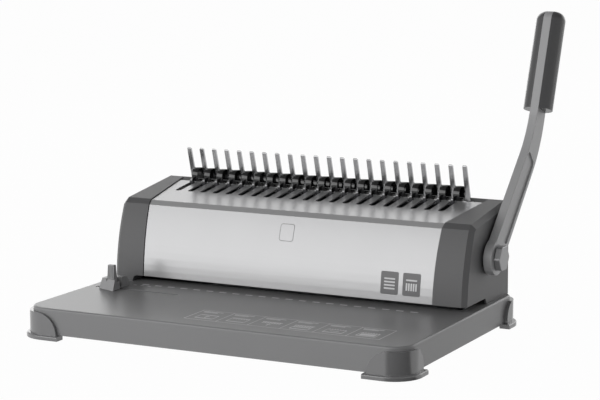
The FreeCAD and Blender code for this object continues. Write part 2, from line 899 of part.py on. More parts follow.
def rack(pitch_radius, travel, along, outward, back, x):
    """Straight rack beside a pinion: teeth face the shaft, the body ends at its back face."""
    pitch = math.pi * gear_module
    lean = math.tan(math.radians(gear_pressure))
    half = pitch / 4 - gear_backlash / 4
    root = gear_dedendum * gear_module
    tip = rack_addendum * gear_module
    count = int((travel + rack_lead + rack_end) / pitch)
    first = -int(rack_lead / pitch) - 0.5
    points = []
    for index in range(count):
        middle = (first + index) * pitch
        points += [(middle - half - root * lean, root), (middle - half + tip * lean, -tip),
                   (middle + half - tip * lean, -tip), (middle + half + root * lean, root)]
    start = points[0][0] - pitch / 4
    end = points[-1][0] + pitch / 4
    points = [(start, back), (start, root)] + points + [(end, root), (end, back)]
    corners = []
    for s, h in points:
        out = pitch_radius + h
        y = pivot_y + along[0] * s + outward[0] * out
        z = pivot_z + along[1] * s + outward[1] * out
        corners.append((y, z))
    return prism(corners, "YZ", x - rack_width / 2, x + rack_width / 2)


def punch_pinions():
    places = (-punch_pinion_x, punch_pinion_x)
    return Part.makeCompound([pinion(punch_teeth, 180, x, punch_pinion_width) for x in places])


def hook_pinions():
    angle = 90 + deck_slope
    places = (-hook_pinion_x, hook_pinion_x)
    return Part.makeCompound([pinion(hook_teeth, angle, x, hook_pinion_width) for x in places])


def punch_racks():
    back = pivot_y - punch_pinion_radius - bar_back_y
    bars = [rack(punch_pinion_radius, punch_stroke, (0, 1), (-1, 0), back, x)
            for x in (-punch_pinion_x, punch_pinion_x)]
    return Part.makeCompound(bars)


def hook_racks():
    plate_low = (deck_z(pivot_y, hook_depth + hook_sheet) - pivot_z) * slope_cos
    back = plate_low - hook_pinion_radius
    along = (slope_cos, slope_sin)
    outward = (-slope_sin, slope_cos)
    bars = [rack(hook_pinion_radius, hook_stroke, along, outward, back, x)
            for x in (-hook_pinion_x, hook_pinion_x)]
    return Part.makeCompound(bars)


def main_shaft():
    shaft = on_shaft(shaft_radius, shaft_left_end, lever_outer - shaft_hub_end)
    return shaft.cut(on_shaft(bolt_shank_radius, lever_outer - bolt_shank, far))


def shaft_bushes():
    body = on_shaft(bush_radius, frame_inner, frame_inner + frame_sheet)
    flange = on_shaft(bush_flange_radius, frame_inner - bush_flange, frame_inner)
    return both_sides(fuse_all([body, flange]).cut(on_shaft(shaft_radius + run_gap, 0, far)))


def shaft_clip():
    """Retaining ring on the shaft's left end, outside the side plate."""
    right = -frame_inner - frame_sheet - frame_gap
    return on_shaft(clip_radius, right - clip_width, right).cut(on_shaft(shaft_radius, -far, far))


def hub_spacer():
    left = frame_inner + frame_sheet + frame_gap
    return on_shaft(spacer_radius, left, lever_inner).cut(on_shaft(shaft_radius, -far, far))


# Ring opener

def deck_band(y0, y1, depth0, depth1, x0, x1):
    """Flat bar parallel to the deck between two depths below it."""
    corners = [(y0, deck_z(y0, depth1)), (y1, deck_z(y1, depth1)),
               (y1, deck_z(y1, depth0)), (y0, deck_z(y0, depth0))]
    return prism(corners, "YZ", x0, x1)


def hook_plate():
    plate = deck_band(hook_plate_front, hook_plate_back, hook_depth, hook_depth + hook_sheet,
                      -hook_half, hook_half)
    back_y = hook_back_y
    nose_y = back_y + hook_nose
    low = hook_depth + hook_sheet / 2
    top = -hook_rise + cap_proud
    under = top + hook_nose_height
    side = [(hook_front_y, deck_z(hook_front_y, low)), (back_y, deck_z(back_y, low)),
            (back_y, deck_z(back_y, under)), (nose_y, deck_z(nose_y, under)),
            (nose_y, deck_z(nose_y, top)), (hook_front_y, deck_z(hook_front_y, top), hook_stem / 2)]
    wide = hook_thick / 2
    slim = hook_tip_width / 2
    barb_back = hook_front_y + hook_barb_length
    hooks = []
    for x in hook_places:
        front = [(x - wide, 0), (x + wide, 0), (x + wide, deck_z(hook_front_y, cap_proud)),
                 (x + slim, deck_z(nose_y, top)), (x - slim, deck_z(nose_y, top)),
                 (x - wide, deck_z(hook_front_y, cap_proud))]
        hooks.append(prism(side, "YZ", x - wide, x + wide).common(prism(front, "XZ", -far, far)))
        hooks.append(deck_band(hook_front_y, barb_back, cap_proud - hook_barb_high,
                               cap_proud - hook_barb_low, x, x + hook_barb_reach))
    return fuse_all([plate] + hooks)


def hook_guides():
    rail = deck_band(guide_front_y, guide_back_y, guide_top_depth, guide_low_depth, guide_inner, frame_inner)
    groove = deck_band(-far, far, hook_depth - slide_gap, hook_depth + hook_sheet + slide_gap,
                       0, hook_half + slide_gap)
    return both_sides(rail.cut(groove))


def front_tie_rod():
    rod = round_bar(tie_rod_radius, Vector(-frame_inner, tie_rod_y, tie_rod_z),
                    Vector(frame_inner, tie_rod_y, tie_rod_z))
    return rod.cut(screw_ends())


# Tines

def flange_top():
    return deck_z(tine_base_y, cap_proud) - tine_flange_drop


def rail_top():
    return flange_top() - tine_thick


def rail_back():
    return rear_y(rail_top(), cap_wall + frame_gap)


def tine_point(height, forward):
    """Point beside the tine's middle plane, at a height along it above the deck."""
    y = tine_base_y - height * lean_sin - forward * lean_cos
    z = deck_z(tine_base_y, cap_proud) + height * lean_cos - forward * lean_sin
    return y, z


def tine_plate():
    """Steel comb: a flange under the rear strip, bent up into a row of tapered tines."""
    half = tine_thick / 2
    top = flange_top()
    low = top - tine_thick

    def at_height(forward, z):
        y0, z0 = tine_point(0, forward)
        return y0 - (z - z0) * lean_sin / lean_cos

    tip_front = tine_point(tine_length, half)
    tip_back = tine_point(tine_length, -half)
    corners = [(tine_flange_back, low), (at_height(half, low), low, tine_bend),
               tip_front + (half * 0.9,), tip_back + (half * 0.9,),
               (at_height(-half, top), top, tine_bend - tine_thick), (tine_flange_back, top)]
    row_half = (tine_count - 1) / 2 * ring_pitch + tine_root_width
    strip = prism(corners, "YZ", -row_half, row_half)
    root_z = top + tine_bend / 2
    tip_z = tip_front[1] + tine_thick
    masks = [block(-row_half, row_half, at_height(-half, root_z), far, 0, far),
             block(-row_half, row_half, -far, far, 0, top - half)]
    for x in tine_places:
        wide = tine_root_width / 2
        slim = tine_tip_width / 2
        shape = [(x - wide, low), (x + wide, low), (x + slim, tip_z - half, slim * 0.8),
                 (x - slim, tip_z - half, slim * 0.8)]
        masks.append(prism(shape, "XZ", -far, far))
    plate = strip.common(fuse_all(masks))
    return plate.cut([upright(screw_radius, x, y, 0, far) for x, y in tine_screw_places()])


def tine_screw_places():
    y = tine_flange_back - 2 * screw_radius
    return [(-8 * ring_pitch, y), (0, y), (8 * ring_pitch, y)]


def tine_rail():
    rail = block(-frame_inner, frame_inner, rail_front_y, rail_back(), rail_top() - rail_height, rail_top())
    holes = [upright(screw_radius, x, y, rail_top() - rail_height / 2, far) for x, y in tine_screw_places()]
    for x, z in rear_screw_places():
        start = Vector(x, rear_y(z, 0) - screw_length / 2, z)
        holes.append(round_bar(screw_radius, start, Vector(x, far, z)))
    return rail.cut(holes + screw_ends())


def tine_screws():
    """Flat screws that hold the tine flange down on its rail."""
    low = rail_top() - rail_height / 2
    screws = [upright(screw_radius, x, y, low, flange_top()) for x, y in tine_screw_places()]
    return Part.makeCompound(screws)


def rear_screws():
    """Pan heads on the back that hold the caps to the side plates and the back panel to its rail."""
    screws = []
    places = [(x, z, screw_length) for x, z in cap_screw_places()]
    places += [(-x, z, screw_length) for x, z in cap_screw_places()]
    places += [(x, z, screw_length / 2) for x, z in rear_screw_places()]
    for x, z, length in places:
        wall = rear_y(z - screw_head_radius, 0)
        head = round_bar(screw_head_radius, Vector(x, wall, z), Vector(x, wall + screw_head, z))
        shank = round_bar(screw_radius, Vector(x, rear_y(z, 0) - length, z), Vector(x, wall, z))
        screws.append(fuse_all([head, shank]))
    return Part.makeCompound(screws)


# Lever

def lever_way():
    """Middle line of the arm: end of the straight, centre of the bend, end of the bend."""
    low = math.radians(lever_low_lean)
    high = math.radians(lever_high_lean)
    start = (pivot_y + lever_low_length * math.sin(low), pivot_z + lever_low_length * math.cos(low))
    centre = (start[0] - lever_bend_radius * math.cos(low), start[1] + lever_bend_radius * math.sin(low))
    end = (centre[0] + lever_bend_radius * math.cos(high), centre[1] - lever_bend_radius * math.sin(high))
    return start, centre, end


def beside(point, lean, along, across):
    """Point beside a lever axis: along it, and across it towards the back."""
    angle = math.radians(lean)
    y = point[0] + along * math.sin(angle) + across * math.cos(angle)
    z = point[1] + along * math.cos(angle) - across * math.sin(angle)
    return y, z


def lever_arm():
    start, centre, end = lever_way()
    half = lever_width / 2
    slim = lever_top_width / 2
    mean = (half + slim) / 2
    root = lever_root_width / 2
    pivot = (pivot_y, pivot_z)
    length = lever_low_length
    lower = prism([beside(pivot, lever_low_lean, 0, -root), beside(pivot, lever_low_lean, length, -half),
                   beside(pivot, lever_low_lean, length, half), beside(pivot, lever_low_lean, 0, root)],
                  "YZ", lever_inner, lever_outer)
    boss = on_shaft(lever_boss_radius, lever_inner, lever_outer)
    turn = lever_low_lean - lever_high_lean
    middle_lean = lever_low_lean - turn / 2

    def on_bend(lean, across):
        y, z = beside(centre, lean, 0, lever_bend_radius + across)
        return Vector(lever_inner, y, z)

    front = [on_bend(lever_low_lean, -half), on_bend(middle_lean, -mean), on_bend(lever_high_lean, -slim)]
    back = [on_bend(lever_high_lean, slim), on_bend(middle_lean, mean), on_bend(lever_low_lean, half)]
    edges = [Part.Arc(*front).toShape(), Part.LineSegment(front[2], back[0]).toShape(),
             Part.Arc(*back).toShape(), Part.LineSegment(back[2], front[0]).toShape()]
    bend = Part.Face(Part.Wire(edges)).extrude(Vector(lever_thick, 0, 0))
    top = grip_start + grip_length
    upper = prism([beside(end, lever_high_lean, 0, -slim),
                   beside(end, lever_high_lean, top, -slim) + (grip_round,),
                   beside(end, lever_high_lean, top, slim) + (grip_round,),
                   beside(end, lever_high_lean, 0, slim)],
                  "YZ", lever_inner, lever_outer)
    arm = fuse_all([lower, boss, bend, upper])
    reach = lever_boss_radius + lever_pocket_end
    far_end = length + lever_pocket_past
    pocket = [beside(pivot, lever_low_lean, reach, -lever_pocket_front) + (lever_pocket_round,),
              beside(pivot, lever_low_lean, far_end, -lever_pocket_front) + (lever_pocket_round,),
              beside(pivot, lever_low_lean, far_end, lever_pocket_back) + (lever_pocket_round,),
              beside(pivot, lever_low_lean, reach, lever_pocket_back) + (lever_pocket_round,)]
    cuts = [prism(pocket, "YZ", lever_outer - lever_pocket_depth, lever_outer + 1),
            on_shaft(shaft_radius, 0, lever_outer - shaft_hub_end),
            on_shaft(bolt_shank_radius, 0, far)]
    return arm.cut(cuts + grip_screw_bars(lever_inner - 1, lever_outer + 1))


def grip_screw_bars(x0, x1):
    end = lever_way()[2]
    bars = []
    for share in (0.25, 0.75):
        y, z = beside(end, lever_high_lean, grip_start + grip_length * share, 0)
        bars.append(round_bar(grip_screw_radius, Vector(x0, y, z), Vector(x1, y, z)))
    return bars


def grip_screw_ends():
    """Screws run through the arm from a third of the way into each grip half."""
    bite = (grip_width - lever_thick) / 6
    return lever_inner - bite, lever_outer + bite


def whole_grip():
    """Oval grip with a domed top, before the arm's slot is cut."""
    end = lever_way()[2]
    y0, z0 = beside(end, lever_high_lean, grip_start, 0)
    angle = math.radians(lever_high_lean)
    axis = Vector(0, math.sin(angle), math.cos(angle))
    across = Vector(0, math.cos(angle), -math.sin(angle))
    centre = Vector(lever_middle, y0, z0)
    oval = Part.Ellipse(centre + Vector(grip_width / 2, 0, 0), centre + across * (grip_depth / 2), centre)
    grip = Part.Face(Part.Wire(oval.toShape())).extrude(axis * grip_length)
    ends = [face for face in grip.Faces if face.Surface.TypeId == "Part::GeomPlane"]
    top = max(ends, key=lambda face: face.CenterOfMass.dot(axis))
    return grip.makeFillet(grip_round, top.Edges)


def inner_grip_half():
    low, high = grip_screw_ends()
    return whole_grip().common(block(0, lever_inner, -far, far, 0, far)).cut(grip_screw_bars(low, high))


def outer_grip_half():
    low, high = grip_screw_ends()
    return whole_grip().common(block(lever_outer, far, -far, far, 0, far)).cut(grip_screw_bars(low, high))


def grip_screws():
    low, high = grip_screw_ends()
    return Part.makeCompound(grip_screw_bars(low, high))


def lever_washer():
    ring = on_shaft(washer_radius, lever_outer, lever_outer + washer_thick)
    return ring.cut(on_shaft(bolt_shank_radius, 0, far))


def lever_bolt():
    """Rounded hexagon head with a shank in the shaft's end."""
    corner = bolt_flats / math.sqrt(3)
    points = []
    for index in range(6):
        angle = math.radians(60 * index)
        points.append((pivot_y + corner * math.cos(angle), pivot_z + corner * math.sin(angle), corner / 4))
    under = lever_outer + washer_thick
    head = prism(points, "YZ", under, under + bolt_head)
    return fuse_all([head, on_shaft(bolt_shank_radius, lever_outer - bolt_shank, under)])


# Plastic comb

def plastic_comb():
    """Ring binding comb: a spine behind the tines and curled rings between them."""
    height = (comb_radius + comb_rest_gap + comb_forward * math.sin(math.radians(tine_lean - deck_slope)))
    height = height / math.cos(math.radians(tine_lean - deck_slope))
    centre_y, centre_z = tine_point(height, comb_forward)
    back = math.degrees(math.atan2(lean_sin, lean_cos))

    def curl(first, last, x0, x1):
        def place(radius, angle):
            turn = math.radians(angle)
            return Vector(x0, centre_y + radius * math.cos(turn), centre_z + radius * math.sin(turn))
        middle = (first + last) / 2
        inner = comb_radius - comb_sheet
        outside = [place(comb_radius, angle) for angle in (first, middle, last)]
        inside = [place(inner, angle) for angle in (last, middle, first)]
        edges = [Part.Arc(*outside).toShape(), Part.LineSegment(outside[2], inside[0]).toShape(),
                 Part.Arc(*inside).toShape(), Part.LineSegment(inside[2], outside[0]).toShape()]
        return Part.Face(Part.Wire(edges)).extrude(Vector(x1 - x0, 0, 0))

    first = back - comb_spine_angle / 2
    last = back + comb_spine_angle / 2
    spine_half = (ring_count - 1) / 2 * ring_pitch + comb_ring_width / 2 + comb_end
    pieces = [curl(first, last, comb_shift - spine_half, comb_shift + spine_half)]
    side = comb_ring_width / 2
    for place_x in ring_places:
        x = place_x + comb_shift
        pieces.append(curl(last, first + 360 - comb_gap_angle, x - side, x + side))
    return fuse_all(pieces)


# Edge guide

def edge_guide():
    """Sliding stop: a skewed and sloped front, a notch open to the right for the tab, a narrower rear."""
    y0 = stop_front
    y1 = stop_front + stop_length
    low = base_top + slide_gap
    high = low + stop_height
    half = stop_width / 2
    waist_y = y0 + stop_waist_back
    left = stop_x - half
    right = stop_x + half
    waist_end = waist_y + stop_waist
    plan = [(right, y0 - 1), (right, waist_y), (right - stop_waist, waist_end), (right - stop_waist, y1),
            (left + stop_waist, y1), (left + stop_waist, waist_end), (left, waist_y), (left, y0 - 1)]
    side = [(y0 - 1, low), (y1, low), (y1 - stop_rear_slope, high, 1.5), (y0 - 1, high)]
    across = [(left, low), (right, low), (right, high), (left + stop_left_draft, high)]
    body = prism(plan, "XY", low, high).common([prism(side, "YZ", -far, far)])
    body = body.common([prism(across, "XZ", -far, far)])
    lean = stop_front_slope / stop_height
    front = prism([(y0 - lean, low - 1), (y0 + lean * (stop_height + 1), high + 1), (-far, high + 1),
                   (-far, low - 1)], "YZ", -far, far)
    skew = math.degrees(math.atan2(stop_front_skew, stop_width))
    front.rotate(Vector(right, y0, 0), Vector(0, 0, 1), -skew)
    notch_y = tab_y - tab_depth / 2 - tab_front_room
    notch_end = notch_y + stop_notch_length
    pocket_left = tab_x - tab_width / 2 - stop_pocket_left
    notch = block(pocket_left, far, notch_y, notch_end, low + stop_notch_floor, far)
    pocket = block(pocket_left, tab_x + stop_pocket_width / 2, notch_y, notch_end,
                   low + stop_pocket_floor, far)
    keel = block(stop_x - stop_keel / 2, stop_x + stop_keel / 2,
                 rail_slot_y - rail_slot_width / 2 + slide_gap,
                 rail_slot_y + rail_slot_width / 2 - slide_gap, clamp_top(), low)
    return fuse_all([body.cut([front, notch, pocket]), keel]).cut(tab_pin_bar())


def clamp_top():
    return base_top - base_wall - slide_gap


def guide_clamp():
    """Plate under the table top that keeps the guide in its slot."""
    return block(stop_x - clamp_length / 2, stop_x + clamp_length / 2,
                 rail_slot_y - clamp_width / 2, rail_slot_y + clamp_width / 2,
                 clamp_top() - clamp_thick, clamp_top())


def tab_pivot():
    return tab_y, base_top + slide_gap + tab_pivot_height


def tab_pin_bar():
    y, z = tab_pivot()
    reach = stop_pocket_width / 2 + tab_pin_radius
    return round_bar(tab_pin_radius, Vector(tab_x - reach, y, z), Vector(tab_x + reach, y, z))


def guide_lock_tab():
    """Ribbed, tapered finger tab that tips back to free the guide."""
    y, z = tab_pivot()
    low = z - tab_depth / 2
    high = low + tab_height
    half_y = tab_depth / 2
    half_x = tab_width / 2
    slim_x = half_x - tab_taper / 5
    side = [(y - half_y, z), (y + half_y, z), (y + half_y - tab_taper, high, 0.8),
            (y - half_y + tab_taper, high, 0.8)]
    front = [(tab_x - half_x, low), (tab_x + half_x, low), (tab_x + slim_x, high, 0.8),
             (tab_x - slim_x, high, 0.8)]
    body = prism(side, "YZ", -far, far).common(prism(front, "XZ", -far, far))
    heel = round_bar(half_y, Vector(tab_x - half_x, y, z), Vector(tab_x + half_x, y, z))
    body = fuse_all([body, heel])
    grooves = []
    rib_low = base_top + slide_gap + stop_height
    lean = math.degrees(math.atan2(tab_taper, high - z))
    for index in range(tab_rib_count):
        x = tab_x + (index - (tab_rib_count - 1) / 2) * tab_width / (tab_rib_count + 0.5)
        groove = block(x - tab_rib, x + tab_rib, y - half_y - far, y - half_y + tab_rib, rib_low, high - 1.2)
        groove.rotate(Vector(0, y - half_y, z), Vector(1, 0, 0), -lean)
        grooves.append(groove)
    bore = round_bar(tab_pin_radius + run_gap, Vector(-far, y, z), Vector(far, y, z))
    return body.cut(grooves + [bore])


# Chip tray

def chip_tray():
    """Drawer under the die that pulls out to the left."""
    low = bottom_plate_top + tray_gap
    high = low + tray_height
    panel_in = -base_half + base_wall
    body = block(panel_in, tray_right, tray_front_y, tray_back_y, low, high)
    hollow = block(panel_in + tray_wall, tray_right - tray_wall, tray_front_y + tray_wall,
                   tray_back_y - tray_wall, low + tray_wall, far)
    panel = block(-base_half, panel_in, tray_front_y - tray_panel_over, tray_back_y + tray_panel_over,
                  low, tray_window_top - tray_gap)
    middle = (tray_front_y + tray_back_y) / 2
    half = tray_pull_length / 2
    pull_x = -base_half - tray_pull_proud
    pull = [(-base_half, middle - half), (pull_x, middle - half, tray_pull_proud * 0.8),
            (pull_x, middle + half, tray_pull_proud * 0.8), (-base_half, middle + half)]
    pull_low = (low + tray_window_top - tray_pull_height) / 2
    lip = prism(pull, "XY", pull_low, pull_low + tray_pull_height)
    return fuse_all([body.cut(hollow), panel, lip])


foot = front_right_foot()
frame_plate = side_frame()
nodes = {
    "base_tray": base_tray(),
    "bottom_plate": bottom_plate(),
    "front_right_foot": foot,
    "front_left_foot": mirrored(foot),
    "rear_right_foot": to_rear(foot),
    "rear_left_foot": mirrored(to_rear(foot)),
    "foot_pads": foot_pads(),
    "foot_screws": foot_screws(),
    "right_end_cap": right_end_cap(),
    "left_end_cap": left_end_cap(),
    "front_cover": front_cover(),
    "rear_cover": rear_cover(),
    "rear_screws": rear_screws(),
    "right_side_frame": frame_plate,
    "left_side_frame": mirrored(frame_plate),
    "frame_screws": frame_screws(),
    "front_tie_rod": front_tie_rod(),
    "die_plate": die_plate(),
    "paper_stop": paper_stop(),
    "stripper_plate": stripper_plate(),
    "guide_posts": guide_posts(),
    "return_springs": return_springs(),
    "punch_bar": punch_bar(),
    "punch_pins": punch_pins(),
    "punch_racks": punch_racks(),
    "main_shaft": main_shaft(),
    "shaft_bushes": shaft_bushes(),
    "shaft_clip": shaft_clip(),
    "hub_spacer": hub_spacer(),
    "punch_pinions": punch_pinions(),
    "hook_pinions": hook_pinions(),
    "hook_plate": hook_plate(),
    "hook_racks": hook_racks(),
    "hook_guides": hook_guides(),
    "tine_plate": tine_plate(),
    "tine_rail": tine_rail(),
    "tine_screws": tine_screws(),
    "lever_arm": lever_arm(),
    "inner_grip_half": inner_grip_half(),
    "outer_grip_half": outer_grip_half(),
    "grip_screws": grip_screws(),
    "lever_washer": lever_washer(),
    "lever_bolt": lever_bolt(),
    "plastic_comb": plastic_comb(),
    "edge_guide": edge_guide(),
    "guide_clamp": guide_clamp(),
    "guide_lock_tab": guide_lock_tab(),
    "guide_lock_pin": tab_pin_bar(),
    "chip_tray": chip_tray(),
}

# The origin goes to the middle of the machine's box, on the desk.
box = Part.makeCompound(list(nodes.values())).optimalBoundingBox(False)
shift = Vector(-(box.XMin + box.XMax) / 2, -(box.YMin + box.YMax) / 2, 0)
os.makedirs("parts", exist_ok=True)
for name, shape in nodes.items():
    placed = shape.copy()
    placed.translate(shift)
    placed.exportStep("parts/" + name + ".step")
    if not placed.isValid():
        print("not valid:", name)
print("origin shift", round(shift.x, 4), round(shift.y, 4), "box", box)
print("punch stroke", round(punch_stroke, 3), "hook stroke", round(hook_stroke, 3))
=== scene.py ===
# %% [markdown]
# # A desktop comb binding machine
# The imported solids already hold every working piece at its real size. This lesson dresses them: soft
# edges where a mould or a press leaves them, real finishes, printed marks on the table and the cover,
# and the even light of a catalogue picture.

# %% Load the solids
import json
import math

import bmesh
import bpy
from mathutils import Matrix, Vector
from mathutils.bvhtree import BVHTree


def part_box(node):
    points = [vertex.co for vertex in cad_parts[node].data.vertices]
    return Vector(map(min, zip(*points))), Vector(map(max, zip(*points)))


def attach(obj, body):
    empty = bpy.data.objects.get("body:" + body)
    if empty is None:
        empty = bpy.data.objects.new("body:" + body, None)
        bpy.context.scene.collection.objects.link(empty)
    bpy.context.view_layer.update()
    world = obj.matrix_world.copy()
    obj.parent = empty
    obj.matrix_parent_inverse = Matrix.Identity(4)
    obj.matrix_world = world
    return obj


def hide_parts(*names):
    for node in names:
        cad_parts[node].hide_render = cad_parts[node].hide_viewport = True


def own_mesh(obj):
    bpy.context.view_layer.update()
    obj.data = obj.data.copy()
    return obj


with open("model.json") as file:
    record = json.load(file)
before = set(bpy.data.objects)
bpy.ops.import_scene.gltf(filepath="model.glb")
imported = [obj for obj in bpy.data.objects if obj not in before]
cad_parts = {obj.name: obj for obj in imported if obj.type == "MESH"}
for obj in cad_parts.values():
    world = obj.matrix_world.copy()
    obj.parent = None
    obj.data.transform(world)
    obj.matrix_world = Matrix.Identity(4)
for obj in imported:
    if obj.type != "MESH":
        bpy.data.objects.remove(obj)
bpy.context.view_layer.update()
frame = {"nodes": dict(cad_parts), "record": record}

# %% [markdown]
# The solids share one frame with its origin under the middle of the machine. Sizes read from the
# machine itself are easier to think of from the middle of the tine row and the tine tips, so one small
# function turns such a place, in millimetres, into a place in the scene, in metres. The line of punches
# is a safe landmark for it, because it stands a known distance in front of the tips.

# %% Places and sizes
MM = 0.001
RING_PITCH = 14.2875
RING_COUNT = 21
PUNCH_TO_TIPS = 56.0
pin_low, pin_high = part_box("punch_pins")
ROW_X = (pin_low[0] + pin_high[0]) / 2
TIP_Y = (pin_low[1] + pin_high[1]) / 2 + PUNCH_TO_TIPS * MM
TABLE_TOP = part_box("base_tray")[1][2] / MM


def place(x, y, z):
    """A place given in millimetres from the middle of the tine row, the tine tips and the desk."""
    return Vector((ROW_X + x * MM, TIP_Y + y * MM, z * MM))


print("tine row middle at x", round(ROW_X, 5), "and tips at y", round(TIP_Y, 5))
print("table top", round(TABLE_TOP, 2), "mm above the desk")

# %% [markdown]
# ## Finishes
# Colours are written the way a paint card or a web page gives them. The renderer works in linear light,
# so one function converts them. A second function adds a node with its settings and links, for materials
# and for Geometry Nodes alike.

# %% Colour and node helpers
def linear(code):
    """An sRGB hex colour as linear red, green, blue and alpha."""
    values = []
    for start in (0, 2, 4):
        share = int(code[start:start + 2], 16) / 255
        values.append(share / 12.92 if share <= 0.04045 else ((share + 0.055) / 1.055) ** 2.4)
    return (*values, 1.0)


def add(tree, kind, inputs=None, **settings):
    """Adds one node. An input that is a socket is linked, and any other value is set."""
    node = tree.nodes.new(kind)
    for name, value in settings.items():
        setattr(node, name, value)
    for name, value in (inputs or {}).items():
        if isinstance(value, bpy.types.NodeSocket):
            tree.links.new(value, node.inputs[name])
        else:
            node.inputs[name].default_value = value
    return node


def grain_scale(millimetres):
    """Noise scale for grains of about this size on Object coordinates in metres."""
    return 1000.0 / millimetres


def finish_material(name, colour, rough, metallic=0.0):
    """A Principled surface and its node tree, ready for grain to be added."""
    material = bpy.data.materials.new(name)
    material.use_nodes = True
    tree = material.node_tree
    surface = tree.nodes["Principled BSDF"]
    surface.inputs["Base Color"].default_value = linear(colour)
    surface.inputs["Roughness"].default_value = rough
    surface.inputs["Metallic"].default_value = metallic
    return material, tree, surface


# %% [markdown]
# Powder-coated sheet and moulded plastic share one look from a step away: a fine even grain that breaks
# up the highlight. The grain is a noise that moves the roughness and tilts the surface a little, and a
# much larger, fainter noise keeps the colour from being dead flat.

# %% Grained paint and plastic
MOTTLE = 45.0
GRAIN_STRENGTH = 0.35


def grained(name, colour, second, rough, grain, depth, spread=0.06, metallic=0.0, ior=1.5):
    """Paint or plastic with a fine grain, in millimetres, and a faint mottle between two colours."""
    material, tree, surface = finish_material(name, colour, rough, metallic)
    surface.inputs["IOR"].default_value = ior
    where = add(tree, "ShaderNodeTexCoord").outputs["Object"]
    fine = add(tree, "ShaderNodeTexNoise", {"Vector": where, "Scale": grain_scale(grain), "Detail": 3.0})
    broad = add(tree, "ShaderNodeTexNoise", {"Vector": where, "Scale": grain_scale(MOTTLE), "Detail": 2.0})
    tone = add(tree, "ShaderNodeMix", {"Factor": broad.outputs["Fac"]}, data_type="RGBA")
    tone.inputs["A"].default_value = linear(colour)
    tone.inputs["B"].default_value = linear(second)
    tree.links.new(tone.outputs["Result"], surface.inputs["Base Color"])
    gloss = add(tree, "ShaderNodeMapRange", {
        "Value": fine.outputs["Fac"], "To Min": rough - spread, "To Max": rough + spread})
    tree.links.new(gloss.outputs["Result"], surface.inputs["Roughness"])
    bump = add(tree, "ShaderNodeBump", {
        "Height": fine.outputs["Fac"], "Strength": GRAIN_STRENGTH, "Distance": depth * MM})
    tree.links.new(bump.outputs["Normal"], surface.inputs["Normal"])
    return material


# The powder coat's real grit is about 0.3 mm, and a mould's texture is finer still. Both are drawn at
# 0.6 to 1.2 mm so that they show at this distance. A finish is given by its colour, a second shade of
# it, its roughness, its grain and the grain's depth, and some have their own spread of gloss or IOR.

# Sheet steel with a baked powder coat: an even mid grey, its sheen slightly broken by the grit.
table_coat = grained("grey_powder_coated_sheet", "8e8e8f", "8a8a8b", 0.36, 0.9, 0.02, 0.04)
# ABS from a mould with a fine etched texture: darker and nearly matt, with no sharp highlight.
cap_plastic = grained("grey_fine_textured_abs", "5e5e5f", "5a5a5b", 0.50, 0.8, 0.03)
# ABS from a smooth mould: glossy enough to mirror the floor, so round corners carry bands.
foot_plastic = grained("grey_moulded_abs", "7a7a7b", "767677", 0.16, 0.9, 0.006, 0.03, ior=1.8)
# Acetal from a blasted mould: pale grey with a soft, waxy highlight.
guide_plastic = grained("grey_moulded_acetal", "a0a0a1", "9c9c9d", 0.36, 0.7, 0.02)
# Satin paint with fine metal flakes on bent sheet: silvery, with a smooth and broad reflection.
cover_paint = grained("silver_satin_paint", "b9b9ba", "b5b5b6", 0.25, 0.7, 0.012, 0.03, metallic=0.28)
# Satin enamel on a thick steel arm: an even grey with a soft line of light along its edges.
lever_paint = grained("mid_grey_satin_enamel", "b8b8b9", "b4b4b5", 0.34, 0.8, 0.02)
# ABS from a polished mould: charcoal with clear, narrow highlights.
grip_plastic = grained("charcoal_gloss_abs", "525253", "4f4f50", 0.24, 0.8, 0.01, 0.04)
# Rolled vinyl sheet, curled hot: deep black and so smooth that it mirrors the room.
comb_vinyl = grained("black_glossy_vinyl", "141415", "121213", 0.06, 1.2, 0.001, 0.01, ior=1.58)
# Moulded rubber: almost black and quite dull.
pad_rubber = grained("black_soft_rubber", "202021", "1c1c1d", 0.75, 0.6, 0.05)
# Bare acetal, cut from the block: off-white with a faint gloss.
slider_plastic = grained("natural_acetal", "d9d8d2", "d3d2cc", 0.40, 1.0, 0.02)
# Screen ink baked on the table: a pale, even film with the gloss of the coat under it.
table_ink = grained("light_grey_screen_ink", "e8e8e9", "e3e3e4", 0.36, 0.8, 0.01)
# Printed plastic film: dark grey and smooth.
plate_ink = grained("dark_grey_printed_film", "6a6a6b", "666667", 0.35, 0.9, 0.005)
# Screen ink on the film: near white and duller than the film.
pale_ink = grained("white_screen_ink", "dededf", "d9d9da", 0.45, 0.8, 0.01)
print("grained finishes made")

# %% [markdown]
# Bare metal shows the direction in which it was worked. A noise stretched along one axis gives the fine
# parallel scratches of rolled or ground steel. Real scratches are some hundredths of a millimetre wide;
# they are drawn at about a third of a millimetre so that they show.

# %% Metals
SCRATCH_WIDTH = 0.35
SCRATCH_LENGTH = 25.0
SCRATCH_DEPTH = 0.02
SCRATCH_STRENGTH = 0.2
SMOOTHER = 0.08
ROUGHER = 0.10


